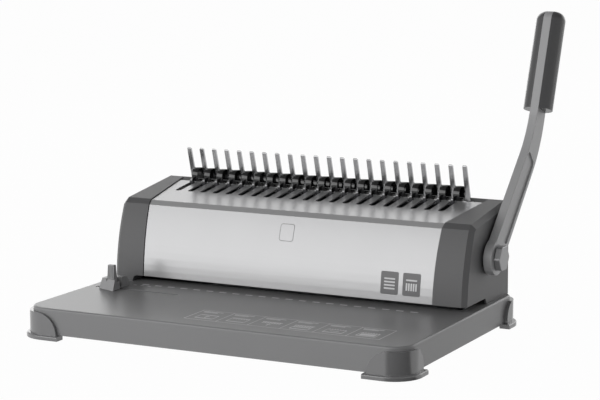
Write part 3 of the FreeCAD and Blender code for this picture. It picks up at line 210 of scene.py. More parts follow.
def worked_metal(name, colour, rough, along):
    """Metal with fine scratches along X, Y or Z, which are 0, 1 and 2."""
    material, tree, surface = finish_material(name, colour, rough, metallic=1.0)
    where = add(tree, "ShaderNodeTexCoord").outputs["Object"]
    stretch = [grain_scale(SCRATCH_WIDTH)] * 3
    stretch[along] = grain_scale(SCRATCH_LENGTH)
    mapped = add(tree, "ShaderNodeMapping", {"Vector": where, "Scale": stretch})
    lines = add(tree, "ShaderNodeTexNoise", {
        "Vector": mapped.outputs["Vector"], "Scale": 1.0, "Detail": 2.0})
    gloss = add(tree, "ShaderNodeMapRange", {
        "Value": lines.outputs["Fac"], "To Min": rough - SMOOTHER, "To Max": rough + ROUGHER})
    tree.links.new(gloss.outputs["Result"], surface.inputs["Roughness"])
    bump = add(tree, "ShaderNodeBump", {
        "Height": lines.outputs["Fac"], "Strength": SCRATCH_STRENGTH, "Distance": SCRATCH_DEPTH * MM})
    tree.links.new(bump.outputs["Normal"], surface.inputs["Normal"])
    return material


# Nickel on stamped steel: bright, with reflections stretched along the tines.
tine_nickel = worked_metal("satin_nickel_tines", "b4b4b5", 0.2, 2)
# Dull zinc on a forged bolt: plain grey with hardly any mirror.
bolt_zinc = worked_metal("dull_zinc_bolt", "8c8c8d", 0.48, 1)
# Zinc on rolled sheet: light and a little blue, streaked along the machine.
plated_sheet = worked_metal("zinc_plated_sheet", "b0b1b3", 0.42, 0)
# Tool steel in a dark, even colour: a painted shade for the punches and die down in the throat.
throat_shade_steel = worked_metal("tool_steel_painted_as_throat_shade", "4a4a4c", 0.42, 2)
# Drawn and oiled wire: mid grey with a thin bright line on every turn.
spring_wire = worked_metal("oiled_spring_wire", "8a8b8d", 0.30, 2)
# Pressed and sintered bronze: warm and dull.
bronze = worked_metal("sintered_bronze", "b08a55", 0.45, 0)
print("metals made")

# %% [markdown]
# The opener hooks are stamped steel. Their colour holds a painted shade: the noses keep a light steel grey,
# and below them the colour turns dark for the part of each hook that sits down in its slot, out of the
# light.
# The painted shade follows the height: it starts a little below the top of the noses.

# %% Hooks with painted shade below their noses
NOSE_DEPTH = 3.4
BRIGHT_DEPTH = 1.0
HOOK_SHADE = "343436"
HOOK_BRIGHT = "a8a8a9"
hook_steel_with_painted_shade = worked_metal("steel_with_painted_shade_below_noses", HOOK_SHADE, 0.42, 2)
tree = hook_steel_with_painted_shade.node_tree
nose_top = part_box("hook_plate")[1][2]
height = add(tree, "ShaderNodeSeparateXYZ", {"Vector": add(tree, "ShaderNodeTexCoord").outputs["Object"]})
# Painted shade: with the height, the colour turns from the nose grey to dark, standing in for the shade in
# the slots.
shaded = add(tree, "ShaderNodeMapRange", {
    "Value": height.outputs["Z"], "From Min": nose_top - NOSE_DEPTH * MM,
    "From Max": nose_top - BRIGHT_DEPTH * MM})
shade_mix = add(tree, "ShaderNodeMix", {"Factor": shaded.outputs["Result"]}, data_type="RGBA")
shade_mix.inputs["A"].default_value = linear(HOOK_SHADE)
shade_mix.inputs["B"].default_value = linear(HOOK_BRIGHT)
tree.links.new(shade_mix.outputs["Result"], tree.nodes["Principled BSDF"].inputs["Base Color"])
print("hook noses rubbed down from z", round(nose_top, 4))

# %% [markdown]
# ## Soft edges
# A pressed or moulded edge is never razor sharp, and its narrow round is what catches the light. The
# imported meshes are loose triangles, so each visible piece is copied, its seams are closed, its flat faces
# are put together again, and a Bevel modifier rounds the edges that turn by more than a set angle. A
# Weighted Normal modifier then keeps the flat faces flat to the eye. The cover and the end caps have
# shallow folds, so their angle is smaller.

# %% Copies with soft edges
JOIN_DISTANCE = 0.002
FLAT_TURN = 0.4
EDGE_TURN = 40.0
ROUND_STEPS = 3


def closed_copy(node):
    """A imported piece's mesh as a bmesh with its loose triangles joined."""
    work = bmesh.new()
    work.from_mesh(frame["nodes"][node].data)
    bmesh.ops.remove_doubles(work, verts=work.verts, dist=JOIN_DISTANCE * MM)
    return work


def dress(piece, material, body, turn=EDGE_TURN):
    """Finish, smooth shading and body of a finished piece."""
    piece.data.materials.clear()
    piece.data.materials.append(material)
    piece.data.shade_smooth()
    piece.data.set_sharp_from_angle(angle=math.radians(turn))
    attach(piece, body)


def soften(node, width, material, body, turn):
    """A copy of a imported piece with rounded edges, standing in for it."""
    work = closed_copy(node)
    bmesh.ops.dissolve_limit(
        work, angle_limit=math.radians(FLAT_TURN), verts=work.verts, edges=work.edges)
    mesh = bpy.data.meshes.new(node + "_dressed")
    work.to_mesh(mesh)
    work.free()
    piece = bpy.data.objects.new(node + "_dressed", mesh)
    bpy.context.collection.objects.link(piece)
    round_edges = piece.modifiers.new("rounded edges", "BEVEL")
    round_edges.width = width * MM
    round_edges.segments = ROUND_STEPS
    round_edges.limit_method = "ANGLE"
    round_edges.angle_limit = math.radians(turn)
    round_edges.use_clamp_overlap = True
    round_edges.harden_normals = True
    flat = piece.modifiers.new("flat faces stay flat", "WEIGHTED_NORMAL")
    flat.keep_sharp = True
    dress(piece, material, body, turn)
    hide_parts(node)


# %% [markdown]
# Each visible piece has its own radius in millimetres. Thick mouldings and the lever's bar are rounder
# than thin stampings, and the small grip halves meet at a tight seam.

# %% Visible pieces
FOLD_TURN = 20.0
FOLDED = ("front_cover", "left_end_cap", "right_end_cap")
softened = [
    ("left_end_cap", 0.9, cap_plastic, "cap_plastic", "machine_frame"),
    ("right_end_cap", 0.9, cap_plastic, "cap_plastic", "machine_frame"),
    ("rear_cover", 0.8, cap_plastic, "cap_plastic", "machine_frame"),
    ("front_cover", 0.45, cover_paint, "cover_paint", "machine_frame"),
    ("base_tray", 0.5, table_coat, "base_plastic", "machine_frame"),
    ("front_left_foot", 0.8, foot_plastic, "foot_plastic", "machine_frame"),
    ("front_right_foot", 0.8, foot_plastic, "foot_plastic", "machine_frame"),
    ("rear_left_foot", 0.8, foot_plastic, "foot_plastic", "machine_frame"),
    ("rear_right_foot", 0.8, foot_plastic, "foot_plastic", "machine_frame"),
    ("tine_plate", 0.3, tine_nickel, "bright_steel", "machine_frame"),
    ("hook_plate", 0.25, hook_steel_with_painted_shade, "tool_steel", "hook_carriage"),
    ("lever_arm", 1.4, lever_paint, "lever_paint", "lever"),
    ("inner_grip_half", 0.4, grip_plastic, "grip_plastic", "lever"),
    ("outer_grip_half", 0.4, grip_plastic, "grip_plastic", "lever"),
    ("lever_washer", 0.2, bolt_zinc, "bright_steel", "lever"),
    ("lever_bolt", 0.7, bolt_zinc, "bright_steel", "lever"),
    ("edge_guide", 0.45, guide_plastic, "guide_plastic", "guide"),
    ("guide_lock_tab", 0.25, guide_plastic, "guide_plastic", "guide_tab"),
    ("chip_tray", 0.5, foot_plastic, "tray_plastic", "tray"),
]
for node, width, material, slot, body in softened:
    soften(node, width, material, body, FOLD_TURN if node in FOLDED else EDGE_TURN)
print("softened", len(softened), "pieces")

# %% [markdown]
# ## Geometry Nodes
# What repeats is made by small node trees. A tree gets named inputs for its sizes, ends in Realize
# Instances and Set Material, and its result is turned into a plain mesh before it joins the machine.

# %% Helpers for node trees
SOCKETS = {"float": "NodeSocketFloat", "int": "NodeSocketInt", "vector": "NodeSocketVector"}


def node_tree(name, inputs):
    """An empty tree with a Geometry input and output and the named size inputs."""
    tree = bpy.data.node_groups.new(name, "GeometryNodeTree")
    tree.interface.new_socket("Geometry", in_out="INPUT", socket_type="NodeSocketGeometry")
    for label, kind in inputs.items():
        tree.interface.new_socket(label, in_out="INPUT", socket_type=SOCKETS[kind])
    tree.interface.new_socket("Geometry", in_out="OUTPUT", socket_type="NodeSocketGeometry")
    return tree, add(tree, "NodeGroupInput").outputs


def end_tree(tree, geometry, material):
    """Realize Instances, Set Material and the tree's output."""
    real = add(tree, "GeometryNodeRealizeInstances", {"Geometry": geometry})
    finished = add(tree, "GeometryNodeSetMaterial", {"Geometry": real.outputs[0], "Material": material})
    add(tree, "NodeGroupOutput", {"Geometry": finished.outputs[0]})


def made_by_nodes(name, tree, sizes, points=((0.0, 0.0, 0.0),)):
    """Runs a tree on some points and keeps the result as a plain mesh."""
    seed = bpy.data.meshes.new(name + "_points")
    seed.from_pydata(points, [], [])
    piece = bpy.data.objects.new(name, seed)
    bpy.context.collection.objects.link(piece)
    modifier = piece.modifiers.new("made by nodes", "NODES")
    sockets = {item.name: item.identifier for item in tree.interface.items_tree if item.in_out == "INPUT"}
    modifier.node_group = tree
    for label, value in sizes.items():
        modifier[sockets[label]] = value
    graph = bpy.context.evaluated_depsgraph_get()
    mesh = bpy.data.meshes.new_from_object(piece.evaluated_get(graph), depsgraph=graph)
    piece.modifiers.remove(modifier)
    piece.data = mesh
    print(name, "made by nodes:", len(mesh.polygons), "faces")
    return piece


# %% [markdown]
# ### The plastic comb
# A binding comb is one strip of vinyl: a curved spine and, at every hole, a finger that curls round into
# a ring and tapers to its tip. One finger is an arc swept with a rounded rectangle; the tree repeats it at
# the comb's pitch and adds the spine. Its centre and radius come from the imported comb's own box.

# %% One curled strip of the comb
SHEET_EASE = 0.25
TAPER_FROM = 0.7
TIP_SHARE = 0.62

comb_tree, sizes_in = node_tree("curled comb", {
    "Centre": "vector", "Radius": "float", "Sheet": "float", "Ring Width": "float", "Pitch": "float",
    "Rings": "int", "Spine Start": "float", "Spine Sweep": "float", "Ring Sweep": "float",
    "Spine Length": "float"})
middle_radius = add(comb_tree, "ShaderNodeMath", {0: sizes_in["Sheet"], 1: -0.5, 2: sizes_in["Radius"]},
                    operation="MULTIPLY_ADD").outputs[0]
ring_start = add(comb_tree, "ShaderNodeMath", {0: sizes_in["Spine Start"], 1: sizes_in["Spine Sweep"]},
                 operation="ADD").outputs[0]


def swept_arc(start, sweep, width, steps, tapered):
    """An arc of sheet in the Y-Z plane, with rounded edges, as wide along X as asked."""
    arc = add(comb_tree, "GeometryNodeCurveArc", {
        "Resolution": steps, "Radius": middle_radius,
        "Start Angle": start, "Sweep Angle": sweep}).outputs[0]
    upright = add(comb_tree, "GeometryNodeTransform", {
        "Geometry": arc, "Rotation": (math.radians(90), 0.0, math.radians(90))}).outputs[0]
    steady = add(comb_tree, "GeometryNodeSetCurveNormal", {"Curve": upright}, mode="FREE")
    steady.inputs["Normal"].default_value = (1.0, 0.0, 0.0)
    path = steady.outputs[0]
    if tapered:
        along = add(comb_tree, "GeometryNodeSplineParameter").outputs["Factor"]
        slim = add(comb_tree, "ShaderNodeMapRange", {
            "Value": along, "From Min": TAPER_FROM, "To Min": 1.0, "To Max": TIP_SHARE}).outputs["Result"]
        path = add(comb_tree, "GeometryNodeSetCurveRadius", {"Curve": path, "Radius": slim}).outputs[0]
    section = add(comb_tree, "GeometryNodeCurvePrimitiveQuadrilateral", {
        "Width": width, "Height": sizes_in["Sheet"]}).outputs[0]
    eased = add(comb_tree, "GeometryNodeFilletCurve", {
        "Curve": section, "Count": 2, "Radius": SHEET_EASE * MM, "Limit Radius": True},
        mode="POLY").outputs[0]
    return add(comb_tree, "GeometryNodeCurveToMesh", {
        "Curve": path, "Profile Curve": eased, "Fill Caps": True}).outputs[0]


RING_STEPS = 40
SPINE_STEPS = 16
finger = swept_arc(ring_start, sizes_in["Ring Sweep"], sizes_in["Ring Width"], RING_STEPS, True)
spine = swept_arc(
    sizes_in["Spine Start"], sizes_in["Spine Sweep"], sizes_in["Spine Length"], SPINE_STEPS, False)
print("finger and spine take", len(comb_tree.nodes), "nodes")

# %% Row of rings on the spine
row_start = add(comb_tree, "ShaderNodeMath", {
    0: sizes_in["Rings"], 1: -0.5, 2: 0.5}, operation="MULTIPLY_ADD")
first_x = add(comb_tree, "ShaderNodeMath", {
    0: row_start.outputs[0], 1: sizes_in["Pitch"]}, operation="MULTIPLY")
row = add(comb_tree, "GeometryNodeMeshLine", {
    "Count": sizes_in["Rings"],
    "Start Location": add(comb_tree, "ShaderNodeCombineXYZ", {"X": first_x.outputs[0]}).outputs[0],
    "Offset": add(comb_tree, "ShaderNodeCombineXYZ", {"X": sizes_in["Pitch"]}).outputs[0]})
fingers = add(comb_tree, "GeometryNodeInstanceOnPoints", {"Points": row.outputs[0], "Instance": finger})
whole = add(comb_tree, "GeometryNodeJoinGeometry")
comb_tree.links.new(fingers.outputs[0], whole.inputs[0])
comb_tree.links.new(spine, whole.inputs[0])
placed = add(comb_tree, "GeometryNodeTransform", {
    "Geometry": whole.outputs[0], "Translation": sizes_in["Centre"]})
end_tree(comb_tree, placed.outputs[0], comb_vinyl)
print("the whole comb takes", len(comb_tree.nodes), "nodes")

# %% Comb in its place
SPINE_MIDDLE = 17.3
SPINE_ANGLE = 112.0
TIP_GAP = 14.0
RING_WIDTH = 6.6
COMB_SHEET = 1.2
COMB_TURN = 30.0
comb_low, comb_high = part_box("plastic_comb")
comb_radius = (comb_high[2] - comb_low[2]) / 2
comb_middle = [(low + high) / 2 for low, high in zip(comb_low, comb_high)]
comb_centre = (comb_middle[0], comb_low[1] + comb_radius, comb_middle[2])
comb = made_by_nodes("plastic_comb_dressed", comb_tree, {
    "Centre": comb_centre, "Radius": comb_radius, "Sheet": COMB_SHEET * MM,
    "Ring Width": RING_WIDTH * MM, "Pitch": RING_PITCH * MM,
    "Rings": RING_COUNT, "Spine Start": math.radians(SPINE_MIDDLE - SPINE_ANGLE / 2),
    "Spine Sweep": math.radians(SPINE_ANGLE), "Ring Sweep": math.radians(360 - SPINE_ANGLE - TIP_GAP),
    "Spine Length": comb_high[0] - comb_low[0]})
dress(comb, comb_vinyl, "comb", COMB_TURN)
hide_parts("plastic_comb")

# %% [markdown]
# ### Screw heads on the back
# The back is held by pan-head screws with a cross recess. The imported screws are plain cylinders, so
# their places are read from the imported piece, one loose solid at a time, and a tree sets a detailed
# screw on each. A head is a short skirt with a flattened ball on it, and a cross is cut out of the top.

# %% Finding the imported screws
def loose_boxes(node):
    """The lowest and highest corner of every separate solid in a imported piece."""
    work = closed_copy(node)
    waiting = set(work.verts)
    boxes = []
    while waiting:
        group = []
        edge_of_group = [waiting.pop()]
        while edge_of_group:
            vertex = edge_of_group.pop()
            group.append(vertex.co.copy())
            for edge in vertex.link_edges:
                other = edge.other_vert(vertex)
                if other in waiting:
                    waiting.remove(other)
                    edge_of_group.append(other)
        low = Vector([min(spot[axis] for spot in group) for axis in range(3)])
        high = Vector([max(spot[axis] for spot in group) for axis in range(3)])
        boxes.append((low, high))
    work.free()
    return boxes


screw_boxes = loose_boxes("rear_screws")
print("found", len(screw_boxes), "screws")

# %% Head and shank of a screw
HEAD_SIDES = 32
DOME_RINGS = 12
DOME_SHARE = 0.999
SHANK_SIDES = 16

screw_tree, sizes_in = node_tree("pan head screw", {
    "Radius": "float", "Height": "float", "Recess": "float", "Shank Radius": "float", "Shank": "float"})
skirt_height = add(screw_tree, "ShaderNodeMath", {
    0: sizes_in["Height"], 1: 0.5}, operation="MULTIPLY").outputs[0]
skirt_middle = add(screw_tree, "ShaderNodeMath", {
    0: sizes_in["Height"], 1: 0.25}, operation="MULTIPLY").outputs[0]
skirt = add(screw_tree, "GeometryNodeMeshCylinder", {
    "Vertices": HEAD_SIDES, "Radius": sizes_in["Radius"], "Depth": skirt_height})
skirt = add(screw_tree, "GeometryNodeTransform", {
    "Geometry": skirt.outputs["Mesh"],
    "Translation": add(screw_tree, "ShaderNodeCombineXYZ", {"Z": skirt_middle}).outputs[0]})
ball = add(screw_tree, "GeometryNodeMeshUVSphere", {
    "Segments": HEAD_SIDES, "Rings": DOME_RINGS, "Radius": sizes_in["Radius"]})
flat = add(screw_tree, "ShaderNodeMath", {
    0: skirt_height, 1: sizes_in["Radius"]}, operation="DIVIDE").outputs[0]
dome = add(screw_tree, "GeometryNodeTransform", {
    "Geometry": ball.outputs["Mesh"],
    "Translation": add(screw_tree, "ShaderNodeCombineXYZ", {"Z": skirt_height}).outputs[0],
    "Scale": add(screw_tree, "ShaderNodeCombineXYZ", {
        "X": DOME_SHARE, "Y": DOME_SHARE, "Z": flat}).outputs[0]})
shank_middle = add(screw_tree, "ShaderNodeMath", {
    0: sizes_in["Shank"], 1: -0.5}, operation="MULTIPLY").outputs[0]
shank = add(screw_tree, "GeometryNodeMeshCylinder", {
    "Vertices": SHANK_SIDES, "Radius": sizes_in["Shank Radius"], "Depth": sizes_in["Shank"]})
shank = add(screw_tree, "GeometryNodeTransform", {
    "Geometry": shank.outputs["Mesh"],
    "Translation": add(screw_tree, "ShaderNodeCombineXYZ", {"Z": shank_middle}).outputs[0]})
head = add(screw_tree, "GeometryNodeMeshBoolean", operation="UNION")
for solid in (skirt, dome):
    screw_tree.links.new(solid.outputs[0], head.inputs["Mesh 2"])
print("head and shank take", len(screw_tree.nodes), "nodes")

# %% Cross recess
RECESS_LENGTHS = 3.6
long_side = add(screw_tree, "ShaderNodeMath", {
    0: sizes_in["Recess"], 1: RECESS_LENGTHS}, operation="MULTIPLY").outputs[0]
wings = []
for shares in ({"X": long_side, "Y": sizes_in["Recess"]}, {"X": sizes_in["Recess"], "Y": long_side}):
    shares["Z"] = sizes_in["Height"]
    wing = add(screw_tree, "GeometryNodeMeshCube", {
        "Size": add(screw_tree, "ShaderNodeCombineXYZ", shares).outputs[0]})
    wings.append(add(screw_tree, "GeometryNodeTransform", {
        "Geometry": wing.outputs["Mesh"],
        "Translation": add(screw_tree, "ShaderNodeCombineXYZ", {"Z": sizes_in["Height"]}).outputs[0]}))
cross = add(screw_tree, "GeometryNodeMeshBoolean", operation="UNION")
for wing in wings:
    screw_tree.links.new(wing.outputs[0], cross.inputs["Mesh 2"])
cut = add(screw_tree, "GeometryNodeMeshBoolean", {
    "Mesh 1": head.outputs["Mesh"], "Mesh 2": cross.outputs["Mesh"]}, operation="DIFFERENCE")
screw = add(screw_tree, "GeometryNodeJoinGeometry")
for solid in (cut, shank):
    screw_tree.links.new(solid.outputs[0], screw.inputs[0])
set_on = add(screw_tree, "GeometryNodeInstanceOnPoints", {
    "Points": sizes_in["Geometry"], "Instance": screw.outputs[0],
    "Rotation": (math.radians(-90), 0.0, 0.0)})
end_tree(screw_tree, set_on.outputs[0], plated_sheet)
print("the whole screw takes", len(screw_tree.nodes), "nodes")

# %% Screws in their places
HEAD_RADIUS = 3.2
HEAD_HEIGHT = 2.4
RECESS_WIDTH = 0.9
SHANK_RADIUS = 1.5
SHANK_LENGTH = 4.5
SCREW_TURN = 30.0
head_places = []
for low, high in screw_boxes:
    head_places.append(((low.x + high.x) / 2, high.y - HEAD_HEIGHT * MM, (low.z + high.z) / 2))
screws = made_by_nodes("rear_screws_dressed", screw_tree, {
    "Radius": HEAD_RADIUS * MM, "Height": HEAD_HEIGHT * MM, "Recess": RECESS_WIDTH * MM,
    "Shank Radius": SHANK_RADIUS * MM, "Shank": SHANK_LENGTH * MM}, head_places)
dress(screws, plated_sheet, "machine_frame", SCREW_TURN)
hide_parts("rear_screws")
print("screw heads at", len(head_places), "places")

# %% [markdown]
# ### Return springs
# Two compression springs inside lift the punch bar back up. A spring is round wire wound in a helix, so a
# tree sweeps a small circle along a spiral and sets one coil on each seat. The bar comes down on them when
# the lever is pulled. Here the coils are made at rest and stay that way.

# %% A wound coil
COIL_STEPS = 28
WIRE_SIDES = 10

coil_tree, sizes_in = node_tree("wound coil", {
    "Radius": "float", "Height": "float", "Turns": "float", "Wire Radius": "float"})
spiral = add(coil_tree, "GeometryNodeCurveSpiral", {
    "Resolution": COIL_STEPS, "Rotations": sizes_in["Turns"], "Height": sizes_in["Height"],
    "Start Radius": sizes_in["Radius"], "End Radius": sizes_in["Radius"]})
wire = add(coil_tree, "GeometryNodeCurvePrimitiveCircle", {
    "Resolution": WIRE_SIDES, "Radius": sizes_in["Wire Radius"]})
coil = add(coil_tree, "GeometryNodeCurveToMesh", {
    "Curve": spiral.outputs[0], "Profile Curve": wire.outputs[0], "Fill Caps": True})
coils = add(coil_tree, "GeometryNodeInstanceOnPoints", {
    "Points": sizes_in["Geometry"], "Instance": coil.outputs[0]})
end_tree(coil_tree, coils.outputs[0], spring_wire)
print("a coil takes", len(coil_tree.nodes), "nodes")

# %% Coils under the punch bar
COIL_TURNS = 7.5
COIL_WIRE = 1.2
WIRE_TURN = 50.0
coil_boxes = loose_boxes("return_springs")
coil_low, coil_high = coil_boxes[0]
coil_size = coil_high - coil_low
seats = []
for low, high in coil_boxes:
    seats.append(((low.x + high.x) / 2, (low.y + high.y) / 2, low.z + COIL_WIRE / 2 * MM))
springs = made_by_nodes("return_springs_dressed", coil_tree, {
    "Radius": (coil_size.x - COIL_WIRE * MM) / 2, "Height": coil_size.z - COIL_WIRE * MM,
    "Turns": COIL_TURNS, "Wire Radius": COIL_WIRE / 2 * MM}, seats)
dress(springs, spring_wire, "machine_frame", WIRE_TURN)
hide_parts("return_springs")
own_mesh(springs)

# %% [markdown]
# ### Dashes along the throat
# A row of light dashes is screen-printed on the table just in front of the throat, one for every punch, to
# line the paper up, and three short ticks stand beside the edge guide. Ink is a film some hundredths of
# a millimetre thick, so each dash is a very flat block.

# %% A row of dashes
dash_tree, sizes_in = node_tree("row of dashes", {
    "First": "vector", "Pitch": "float", "Count": "int", "Size": "vector"})
row = add(dash_tree, "GeometryNodeMeshLine", {
    "Count": sizes_in["Count"], "Start Location": sizes_in["First"],
    "Offset": add(dash_tree, "ShaderNodeCombineXYZ", {"X": sizes_in["Pitch"]}).outputs[0]})
dash = add(dash_tree, "GeometryNodeMeshCube", {"Size": sizes_in["Size"]})
dashes = add(dash_tree, "GeometryNodeInstanceOnPoints", {
    "Points": row.outputs[0], "Instance": dash.outputs["Mesh"]})
end_tree(dash_tree, dashes.outputs[0], table_ink)
print("a row takes", len(dash_tree.nodes), "nodes")

# %% Dashes and ticks on the table
DASH_Y = -97.6
DASH_SHIFT = -1.4
DASH_SIZE = (7.4, 3.2)
FIRST_DASH = DASH_SHIFT - (RING_COUNT - 1) / 2 * RING_PITCH
TICK_COUNT = 3
TICK_PITCH = 8.0
FIRST_TICK = -153.0
TICK_Y = -103.5
TICK_SIZE = (3.6, 1.8)
INK_FILM = 0.06
rows = {
    "throat_dashes": (RING_COUNT, RING_PITCH, FIRST_DASH, DASH_Y, DASH_SIZE),
    "guide_ticks": (TICK_COUNT, TICK_PITCH, FIRST_TICK, TICK_Y, TICK_SIZE),
}
for name, (count, pitch, first, y, (length, width)) in rows.items():
    marks = made_by_nodes(name, dash_tree, {
        "First": place(first, y, TABLE_TOP), "Pitch": pitch * MM, "Count": count,
        "Size": (length * MM, width * MM, INK_FILM * MM)})
    dress(marks, table_ink, "machine_frame")

# %% [markdown]
# ## Printed panel on the table
# The front of the table carries a printed strip of six cells. Each cell has two heading bars and a plain
# sign made of bars: a sheet, a row of holes, a comb or an arrow. Bars are flat boxes of ink, so one
# function draws any list of them as one mesh.

# %% Bars of ink on the table
def ink_bars(name, bars):
    """Flat bars on the table: middle x and y, length, width and turn in degrees, as one piece."""
    work = bmesh.new()
    for x, y, length, width, turn in bars:
        size = Matrix.Diagonal((length * MM, width * MM, INK_FILM * MM, 1.0))
        turned = Matrix.Rotation(math.radians(turn), 4, "Z")
        spot = Matrix.Translation(place(x, y, TABLE_TOP))
        bmesh.ops.create_cube(work, size=1.0, matrix=spot @ turned @ size)
    mesh = bpy.data.meshes.new(name)
    work.to_mesh(mesh)
    work.free()
    piece = bpy.data.objects.new(name, mesh)
    bpy.context.collection.objects.link(piece)
    dress(piece, table_ink, "machine_frame")


# %% Lines of the panel
PANEL_LEFT = -35.0
PANEL_RIGHT = 158.5
PANEL_FRONT = -213.0
PANEL_BACK = -175.0
CELLS = 6
LINE = 0.7
panel_wide = PANEL_RIGHT - PANEL_LEFT
panel_deep = PANEL_BACK - PANEL_FRONT
panel_x = (PANEL_LEFT + PANEL_RIGHT) / 2
panel_y = (PANEL_FRONT + PANEL_BACK) / 2
cell = panel_wide / CELLS
frame_bars = [(panel_x, PANEL_BACK, panel_wide, LINE, 0), (panel_x, PANEL_FRONT, panel_wide, LINE, 0)]
for index in range(CELLS + 1):
    frame_bars.append((PANEL_LEFT + index * cell, panel_y, LINE, panel_deep, 0))
ink_bars("panel_lines", frame_bars)
print("panel of", CELLS, "cells, each", round(cell, 2), "mm wide")

# %% Shapes for the signs
STROKE = 1.8
ARROW_LINE = 0.9


def sheet_sign(y, wide, deep):
    """Outline of a sheet of paper."""
    return [(0, y - deep / 2, wide, STROKE, 0), (0, y + deep / 2, wide, STROKE, 0),
            (-wide / 2, y, LINE, deep, 0), (wide / 2, y, LINE, deep, 0)]


def row_sign(y, count, step, length, width):
    """A row of short marks, such as holes or comb rings."""
    return [((index - (count - 1) / 2) * step, y, length, width, 0) for index in range(count)]


def arrow_sign(y, size):
    """An arrow that points to the back of the machine."""
    barb = [(-way * size / 6, y + size / 2.6, size / 2, ARROW_LINE, way * 45) for way in (1, -1)]
    return [(0, y, ARROW_LINE, size, 0), *barb]


sheet = sheet_sign(0, 18.0, 13.0)
rings = row_sign(3.0, 8, 2.4, 1.3, 5.0) + [(0, 6.0, 19.5, 1.5, 0)]
booklet = row_sign(5.0, 7, 2.6, 1.2, 3.0) + sheet_sign(-1.5, 18.5, 11.0)
cell_signs = [
    sheet + arrow_sign(-1.0, 7.0),
    sheet + row_sign(4.0, 6, 2.6, 1.5, 1.2),
    rings + arrow_sign(-5.0, 6.0),
    rings + sheet_sign(-4.5, 18.0, 7.0),
    booklet + [(0, -1.5, 9.0, 1.2, 0)],
    booklet + [(0, -1.5, 15.0, 6.5, 0)],
]
print("signs of", [len(bars) for bars in cell_signs], "bars")

# %% Headings and signs in the cells
HEADING_BAR = 1.7
HEADING_STEP = 3.2
HEADING_DROP = 4.5
HEADING_SHARES = (0.62, 0.45)
HEADING_SHIFT = 0.3
SIGN_LEVEL = 0.36
sign_y = PANEL_FRONT + panel_deep * SIGN_LEVEL
signs = []
for index, bars in enumerate(cell_signs):
    x = PANEL_LEFT + (index + 0.5) * cell
    for step, share in enumerate(HEADING_SHARES):
        heading_x = x - (1 - share) * cell * HEADING_SHIFT
        heading_y = PANEL_BACK - HEADING_DROP - HEADING_STEP * step
        signs.append((heading_x, heading_y, cell * share, HEADING_BAR, 0))
    for across, along, length, width, angle in bars:
        signs.append((x + across, sign_y + along, length, width, angle))
ink_bars("panel_signs", signs)
print("panel signs drawn with", len(signs), "bars")

# %% [markdown]
# ## Plates on the cover
# Two small dark films with bar signs and one plain badge sit on the bulged cover front. A film follows
# the bulge, so its outline is cut into rows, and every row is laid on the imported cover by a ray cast
# straight back on to it.

# %% Films that follow the cover
CORNER_STEPS = 6
FILM_ROWS = 8
FILM_SINK = 0.05
FILM_TURN = 30.0
IN_FRONT = -300.0
cover_work = closed_copy("front_cover")
cover_tree = BVHTree.FromBMesh(cover_work)
cover_work.free()


def cover_y(x, z):
    """Where the cover's front stands, in scene metres, at a place given in millimetres."""
    start = place(x, IN_FRONT, z)
    return cover_tree.ray_cast(start, Vector((0.0, 1.0, 0.0)))[0].y


def film(name, x0, x1, z0, z1, corner, proud, material, slot):
    """A thin plate with rounded corners that follows the cover's front."""
    levels = []
    for step in range(CORNER_STEPS + 1):
        angle = math.radians(90 * step / CORNER_STEPS)
        levels.append((z0 + corner * (1 - math.cos(angle)), corner * (1 - math.sin(angle))))
    straight = z1 - z0 - 2 * corner
    middle = [(z0 + corner + straight * row / FILM_ROWS, 0.0) for row in range(1, FILM_ROWS)]
    levels = levels + middle + [(z0 + z1 - z, inset) for z, inset in reversed(levels)]
    work = bmesh.new()
    faces = {}
    for side, depth in (("front", -proud), ("back", FILM_SINK)):
        rows = []
        for z, inset in levels:
            pair = []
            for x in (x0 + inset, x1 - inset):
                spot = place(x, 0.0, z)
                spot.y = cover_y(x, z) + depth * MM
                pair.append(work.verts.new(spot))
            rows.append(pair)
        faces[side] = rows
    front, rear = faces["front"], faces["back"]
    for index in range(len(levels) - 1):
        work.faces.new((front[index][0], front[index][1], front[index + 1][1], front[index + 1][0]))
        work.faces.new((rear[index][1], rear[index][0], rear[index + 1][0], rear[index + 1][1]))
        work.faces.new((front[index][1], rear[index][1], rear[index + 1][1], front[index + 1][1]))
        work.faces.new((rear[index][0], front[index][0], front[index + 1][0], rear[index + 1][0]))
    work.faces.new((front[0][1], front[0][0], rear[0][0], rear[0][1]))
    work.faces.new((front[-1][0], front[-1][1], rear[-1][1], rear[-1][0]))
    bmesh.ops.recalc_face_normals(work, faces=work.faces)
    mesh = bpy.data.meshes.new(name)
    work.to_mesh(mesh)
    work.free()
    piece = bpy.data.objects.new(name, mesh)
    bpy.context.collection.objects.link(piece)
    dress(piece, material, "machine_frame", FILM_TURN)


# %% Films and badge
LABEL_LEFT = (101.6, 123.8)
LABEL_WIDE = 17.8
LABEL_LOW = 41.2
LABEL_HIGH = 62.3
LABEL_CORNER = 1.6
PLATE_PROUD = 0.12
for name, left in zip(("left_label_film", "right_label_film"), LABEL_LEFT):
    film(name, left, left + LABEL_WIDE, LABEL_LOW, LABEL_HIGH, LABEL_CORNER, PLATE_PROUD,
         plate_ink, "cap_plastic")
BADGE_RIM = (-8.2, 6.8, 81.0, 97.0)
BADGE_FACE = (-7.7, 6.3, 81.5, 96.5)
RIM_CORNER = 2.4
FACE_CORNER = 2.0
RIM_PROUD = 0.08
film("badge_rim", *BADGE_RIM, RIM_CORNER, RIM_PROUD, plate_ink, "cap_plastic")
film("badge_face", *BADGE_FACE, FACE_CORNER, PLATE_PROUD, cover_paint, "cover_paint")
print("films and badge laid on")

